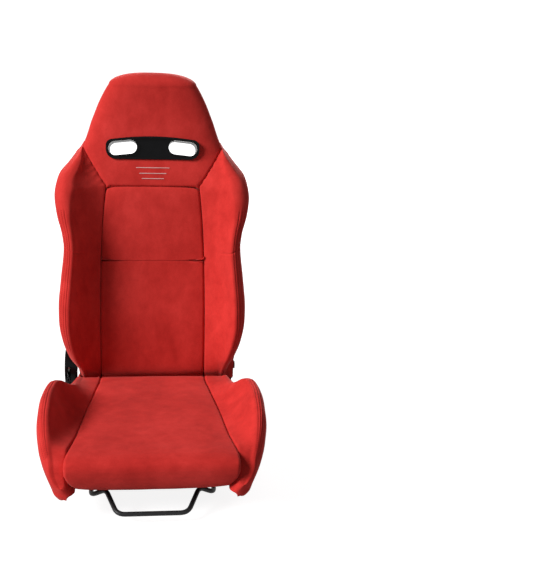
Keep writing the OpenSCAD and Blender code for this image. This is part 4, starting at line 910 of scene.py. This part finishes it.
def head():
    """The head cushion, with room for the bezels and the sleeves."""
    core = np.concatenate([np.linspace(0, 0.72, 12)[:-1], np.linspace(0.72, 0.95, 9)[:-1],
                           np.linspace(0.95, 1.0, 9)])
    across = np.concatenate([-core[::-1], core[1:]])
    levels = np.concatenate([np.array([0, 0.5, 1.2, 2.2, 3.6, 5.5, 8, 11, 15, 19]) + HEAD_LOW,
                             np.linspace(658, DOME_Z, 60)])
    walls = np.linspace(0, 1, 9)[1:-1]
    rings = np.array([head_ring(z, across, walls) for z in levels])
    # Edges roll over into the seams in front
    x, z = np.abs(rings[..., 0]), rings[..., 2]
    in_front = rings[..., 1] < (front_y(z) + rear_y(z)) / 2 - 10
    turn_x, turn_z = PANEL_HIGH - CORNER_R, HEAD_Z - CORNER_R
    arc = norm(np.stack([x - turn_x, z - turn_z], axis=-1), axis=-1) - CORNER_R
    below = np.where(x < turn_x, z - HEAD_Z, np.where(x < PANEL_HIGH + 1, arc, 99))
    below = np.minimum(below, np.where(z < HEAD_Z, PANEL_HIGH - x, 99))
    diag = seam_distance(x, z, (PANEL_HIGH, HEAD_Z), HEAD_TIP, 6)
    dist = np.minimum(diag, np.maximum(0, below))
    fall = rolled_edge(dist, 6.0) + 2.5 * np.exp(-dist / 9)
    rings[..., 1] += np.where(in_front, fall * np.clip((728 - z) / 12, 0, 1), 0)
    # Behind, the same along the arch and the slanted seams
    arched = z - np.vectorize(arch_z)(rings[..., 0])
    slanted = seam_distance(x, z, *REAR_SEAM, 8)
    dist = np.minimum(slanted, np.abs(np.where(x < 141, arched, 99)))
    fall = rolled_edge(dist, 4) + 1.2 * np.exp(-dist / 8)
    rings[..., 1] -= np.where(~in_front, fall, 0)
    # The crown closes in a dome
    last = rings[-1]
    mid = (last.max(axis=0) + last.min(axis=0)) / 2
    dome = []
    for u in np.sin(np.linspace(0, math.pi / 2, 16))[1:]:
        across_x = max(0.02, 1 - u ** 1.8) ** 0.4
        across_y = max(0.006, 1 - u ** 2) ** 0.5
        dome.append(mid + (last - mid) * [across_x, across_y, 0] + [0, 4 * u * u, DOME_H * u])
    rings = np.concatenate([rings, dome])
    n, k = rings.shape[:2]
    way = rings - rings.mean(axis=1, keepdims=True)
    way /= np.maximum(norm(way, axis=-1, keepdims=True), 1)
    rings = rings + way * waves(rings, (70, 31, 0.6), (30, 33, 0.3))[..., None]
    faces = ring_faces(n, k)
    faces += [tuple((n - 1) * k + j for j in range(k)), tuple(range(k - 1, -1, -1))]
    obj = piece("head_cushion", rings.reshape(-1, 3), faces, RED_BACK_PAINTED_LIGHTER, "backrest")
    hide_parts("head_pad")
    shapes = []
    for s in (-1, 1):
        shapes += [slot_prism(s, *SLEEVE_CUT, -30, 140), slot_prism(s, *BEZEL_CUT, 94.7, 150)]
    carve(obj, shapes + [bezel_prism(CUT_PLAY, -45, 4.3)])


def in_head(points):
    """Head slot coordinates (x across, y in, z up) to the seat's."""
    a = math.radians(-SLOT_LEAN)
    base = np.array([0, front_y(SLOT_AT[1]), SLOT_AT[1]])
    p = np.asarray(points, float)
    y = p[:, 1] * math.cos(a) - p[:, 2] * math.sin(a)
    z = p[:, 1] * math.sin(a) + p[:, 2] * math.cos(a)
    return np.stack([p[:, 0], y, z], axis=1) + base


def prism(ring, y0, y1):
    """A prism in slot coordinates from an outline (x, z)."""
    return [(x, y, z) for y in (y0, y1) for x, z in ring], prism_faces(len(ring))


def long_hole(length, height):
    """Outline (x, z) of a slot with round ends."""
    r, half = height / 2, (length - height) / 2
    right = [(half + r * math.cos(a), r * math.sin(a))
             for a in np.linspace(-math.pi / 2, math.pi / 2, 16)]
    return right + [(-x, -z) for x, z in right]


def slot_prism(s, length, height, y0, y1):
    """A harness slot's outline, on the side s, as a prism."""
    verts, faces = prism(long_hole(length, height), y0, y1)
    t = math.radians(SLOT_TILT)
    out = []
    for x, y, z in verts:
        # The slots' inner ends are up
        u, v = x * math.cos(t) + z * math.sin(t), -x * math.sin(t) + z * math.cos(t)
        out.append((s * (u + SLOT_AT[0]), y, v))
    return in_head(out), faces


def bezel_prism(grow, y0, y1):
    """The front bezel's outline, grown outwards, as a prism."""
    # Half width and lower edge, then the radii of the lower and the upper corners
    w, foot = 115 + grow, -28 - grow
    low, high = 24 + grow, 16 + grow

    def top(x):
        return 28 + grow - 10 * (x / w) ** 2
    half = [(w - low + low * math.cos(a), foot + low + low * math.sin(a))
            for a in np.linspace(-math.pi / 2, 0, 9)]
    half += [(w - high + high * math.cos(a), top(w - high) - high + high * math.sin(a))
             for a in np.linspace(0, math.radians(80), 8)]
    half += [((w - high) * (1 - i / 9), top((w - high) * (1 - i / 9))) for i in range(1, 9)]
    verts, faces = prism(half + [(-x, z) for x, z in half[::-1]], y0, y1)
    return in_head(verts), faces


# ---- rear panel
def rear_panel():
    """The flat padded panel behind, with its arched top and a gathered hem round the foot."""
    ends = ARCH_Z + ARCH_H * np.sin(np.linspace(0, math.pi / 2, 26)) ** (2 / ARCH_P)
    edge = 1 - np.array([0.1, 0.075, 0.052, 0.034, 0.02, 0.01, 0.003, 0.0])
    core = np.concatenate([np.linspace(0, 0.9, 22)[:-1], edge])
    across = np.concatenate([-core[::-1], core[1:]])

    def row(z, w):
        """The points (x, y) of the face at height z."""
        line = []
        for x, side in zip(across * w, w * (1 - np.abs(across))):
            # Distance to the edge: sideways, or down from the arch
            off = min(side, max(0.0, arch_z(x) - z) if z > 480 else 99)
            line.append((x, rear_y(z) - rolled_edge(off, 4) - 1.5 * math.exp(-off / 12)))
        return line
    outer, inner = [], []
    foot = REAR_X - GAP
    for y in (196, 203, 209):
        outer.append([(x, y - 1.0, foot_z(y, FOOT_R)) for x in across * foot])
        inner.append([(x, 195.5, foot_z(197, FOOT_R) + 2) for x in across * foot])
    # Each row's height, and how far the hem draws it in
    for z, pull in ((133.5, 3.5), (137, 1.2), (142, 0.2), (148, 0), (155, 0), (163, 0), (170, 0)):
        level = max(z, 150)
        outer.append([(x, rear_y(z) + (y - rear_y(level)) - pull, z)
                      for x, y in row(level, foot)])
        inner.append([(x, rear_y(z) - REAR_T, max(z, 136)) for x in across * foot])
    for z in np.concatenate([np.linspace(176, 496, 60), ends]):
        w = max(0.4, rear_half(z) - GAP)
        outer.append([(x, y, z) for x, y in row(z, w)])
        inner.append([(x * 0.999, rear_y(z) - REAR_T, z) for x in across * w])
    outer, inner = np.array(outer), np.array(inner)
    outer[..., 1] += waves(outer, (60, 41, 0.5), (25, 43, 0.3))
    # Gathers above the hem
    x, z = outer[..., 0], outer[..., 2]
    turn = x / REAR_X * math.pi * 3.1
    gather = np.sin(turn + 0.4) + 0.4 * np.sin(x / 11.0 + np.sin(x / 37.0))
    outer[..., 1] -= 1.3 * (np.exp(-np.abs(z - 138) / 9) * gather)
    outer[:10, :, 2] += 1.6 * np.cos(turn[:10])
    obj = piece("rear_panel", *loft(outer, inner), RED_BACK_PAINTED_LIGHTER, "backrest")
    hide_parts("back_rear_panel")


# ---- small things
def stripes():
    """Three plain lines across the head, under the front bezel."""
    verts, faces = [], []
    n = 24
    for z, half in ((680, 41), (667, 33), (655, 27)):
        for i in range(n + 1):
            x = mix(-half, half, i / n)
            for dz in (-0.65, 0.65):
                y = head_y(x, z + dz, -1)
                verts += [(x, y - 0.9, z + dz), (x, y + 1.5, z + dz)]
        base = len(verts) - 4 * (n + 1)
        for i in range(n):
            a = base + 4 * i
            faces += [(a, a + 4, a + 6, a + 2), (a + 1, a + 3, a + 7, a + 5),
                      (a, a + 1, a + 5, a + 4), (a + 2, a + 6, a + 7, a + 3)]
        faces += [(base, base + 2, base + 3, base + 1),
                  (base + 4 * n, base + 4 * n + 1, base + 4 * n + 3, base + 4 * n + 2)]
    piece("head_lines", verts, faces, STRIPE, "backrest", smooth=False)


seat_cushion()
seat_wing("seat_wing_left", 1)
seat_wing("seat_wing_right", -1)
back_panel("back_panel_low", SEAT_Z, CROSS_Z, 5, True, 0)
back_panel("back_panel_high", CROSS_Z, HEAD_Z, 6, False, 11)
back_wing("back_wing_left", 1)
back_wing("back_wing_right", -1)
head()
rear_panel()
stripes()

# ---- CAD pieces that stay
LOOKS = {"gloss_black_plastic": GLOSS, "black_painted_steel": PAINT, "zinc_steel": ZINC}
for part in frame["record"]["subparts"]:
    look = LOOKS.get(part["material_slot"])
    if look is None:
        continue
    # The sleeves take the grey plastic, whose colour is a painted reflection, in place of their
    # black.
    if part["node"].startswith("harness_sleeve"):
        look = SLEEVE_PAINTED_REFLECTION
    cad = frame["nodes"][part["node"]]
    if cad.material_slots:
        for entry in cad.material_slots:
            entry.material = look
    else:
        cad.data.materials.append(look)

# ---- floor, light, camera
def by_ray(nt, unseen, seen, kind):
    """The one for light, the other for what the camera sees, straight or in gloss or glass."""
    path = add(nt, "ShaderNodeLightPath")
    ray = math_node(nt, "MAXIMUM", path.outputs["Is Camera Ray"], path.outputs["Is Glossy Ray"])
    ray = math_node(nt, "MAXIMUM", ray, path.outputs["Is Transmission Ray"])
    pick = add(nt, "ShaderNodeMixShader")
    nt.links.new(ray, pick.inputs[0])
    nt.links.new(unseen.outputs[0], pick.inputs[1])
    nt.links.new(seen.outputs[0], pick.inputs[2])
    nt.links.new(pick.outputs[0], add(nt, kind).inputs["Surface"])


def lamp(name, kind, energy, way):
    """A light that shines along a direction."""
    obj = new_object(name, bpy.data.lights.new(name, kind))
    obj.data.energy = energy
    obj.rotation_euler = Vector(way).to_track_quat("-Z", "Y").to_euler()
    return obj


WHITE = (1, 1, 1, 1)
pale = bpy.data.materials.new("pale_floor")
pale.use_nodes = True
nt = pale.node_tree
nt.nodes.clear()
diffuse = add(nt, "ShaderNodeBsdfDiffuse", Color=(0.36, 0.36, 0.36, 1))
glow = add(nt, "ShaderNodeEmission", Strength=0.88, Color=WHITE)
both = add(nt, "ShaderNodeAddShader")
nt.links.new(diffuse.outputs[0], both.inputs[0])
nt.links.new(glow.outputs[0], both.inputs[1])
by_ray(nt, diffuse, both, "ShaderNodeOutputMaterial")

mesh = bpy.data.meshes.new("floor")
mesh.from_pydata([(-60, -60, -0.0005), (60, -60, -0.0005), (60, 60, -0.0005), (-60, 60, -0.0005)],
                 [], [(0, 1, 2, 3)])
mesh.materials.append(pale)
floor = new_object("floor", mesh)

world = bpy.data.worlds.new("studio")
bpy.context.scene.world = world
world.use_nodes = True
world.node_tree.nodes.clear()
nt = world.node_tree
by_ray(nt, add(nt, "ShaderNodeBackground", Strength=0.12, Color=WHITE),
       add(nt, "ShaderNodeBackground", Strength=1.0, Color=WHITE), "ShaderNodeOutputWorld")

lamp("key", "SUN", 3.7, (0.73, 0.28, -0.52)).data.angle = math.radians(25)
rear_lamp = lamp("rear", "AREA", 85, (-0.35, -3.0, -1.0))
rear_lamp.location = (0.35, 3.2, 1.5)
rear_lamp.data.shape = "RECTANGLE"
rear_lamp.data.size, rear_lamp.data.size_y = 1.8, 1.6

camera_data = bpy.data.cameras.new("camera")
camera_data.sensor_width = 36
camera_data.sensor_fit = "AUTO"
camera_data.lens = 65.15
camera_data.clip_end = 200
camera = new_object("camera", camera_data)
camera.location = (0, -2.286, 1.297)
# Pitched down, then turned about its own upright axis, so that the seat's middle plane
# stays upright
camera.rotation_euler = (Matrix.Rotation(math.radians(90 - 20.3), 3, "X")
                         @ Matrix.Rotation(math.radians(-6.77), 3, "Y")).to_euler()
bpy.context.scene.camera = camera
bpy.context.scene.view_settings.view_transform = "Standard"
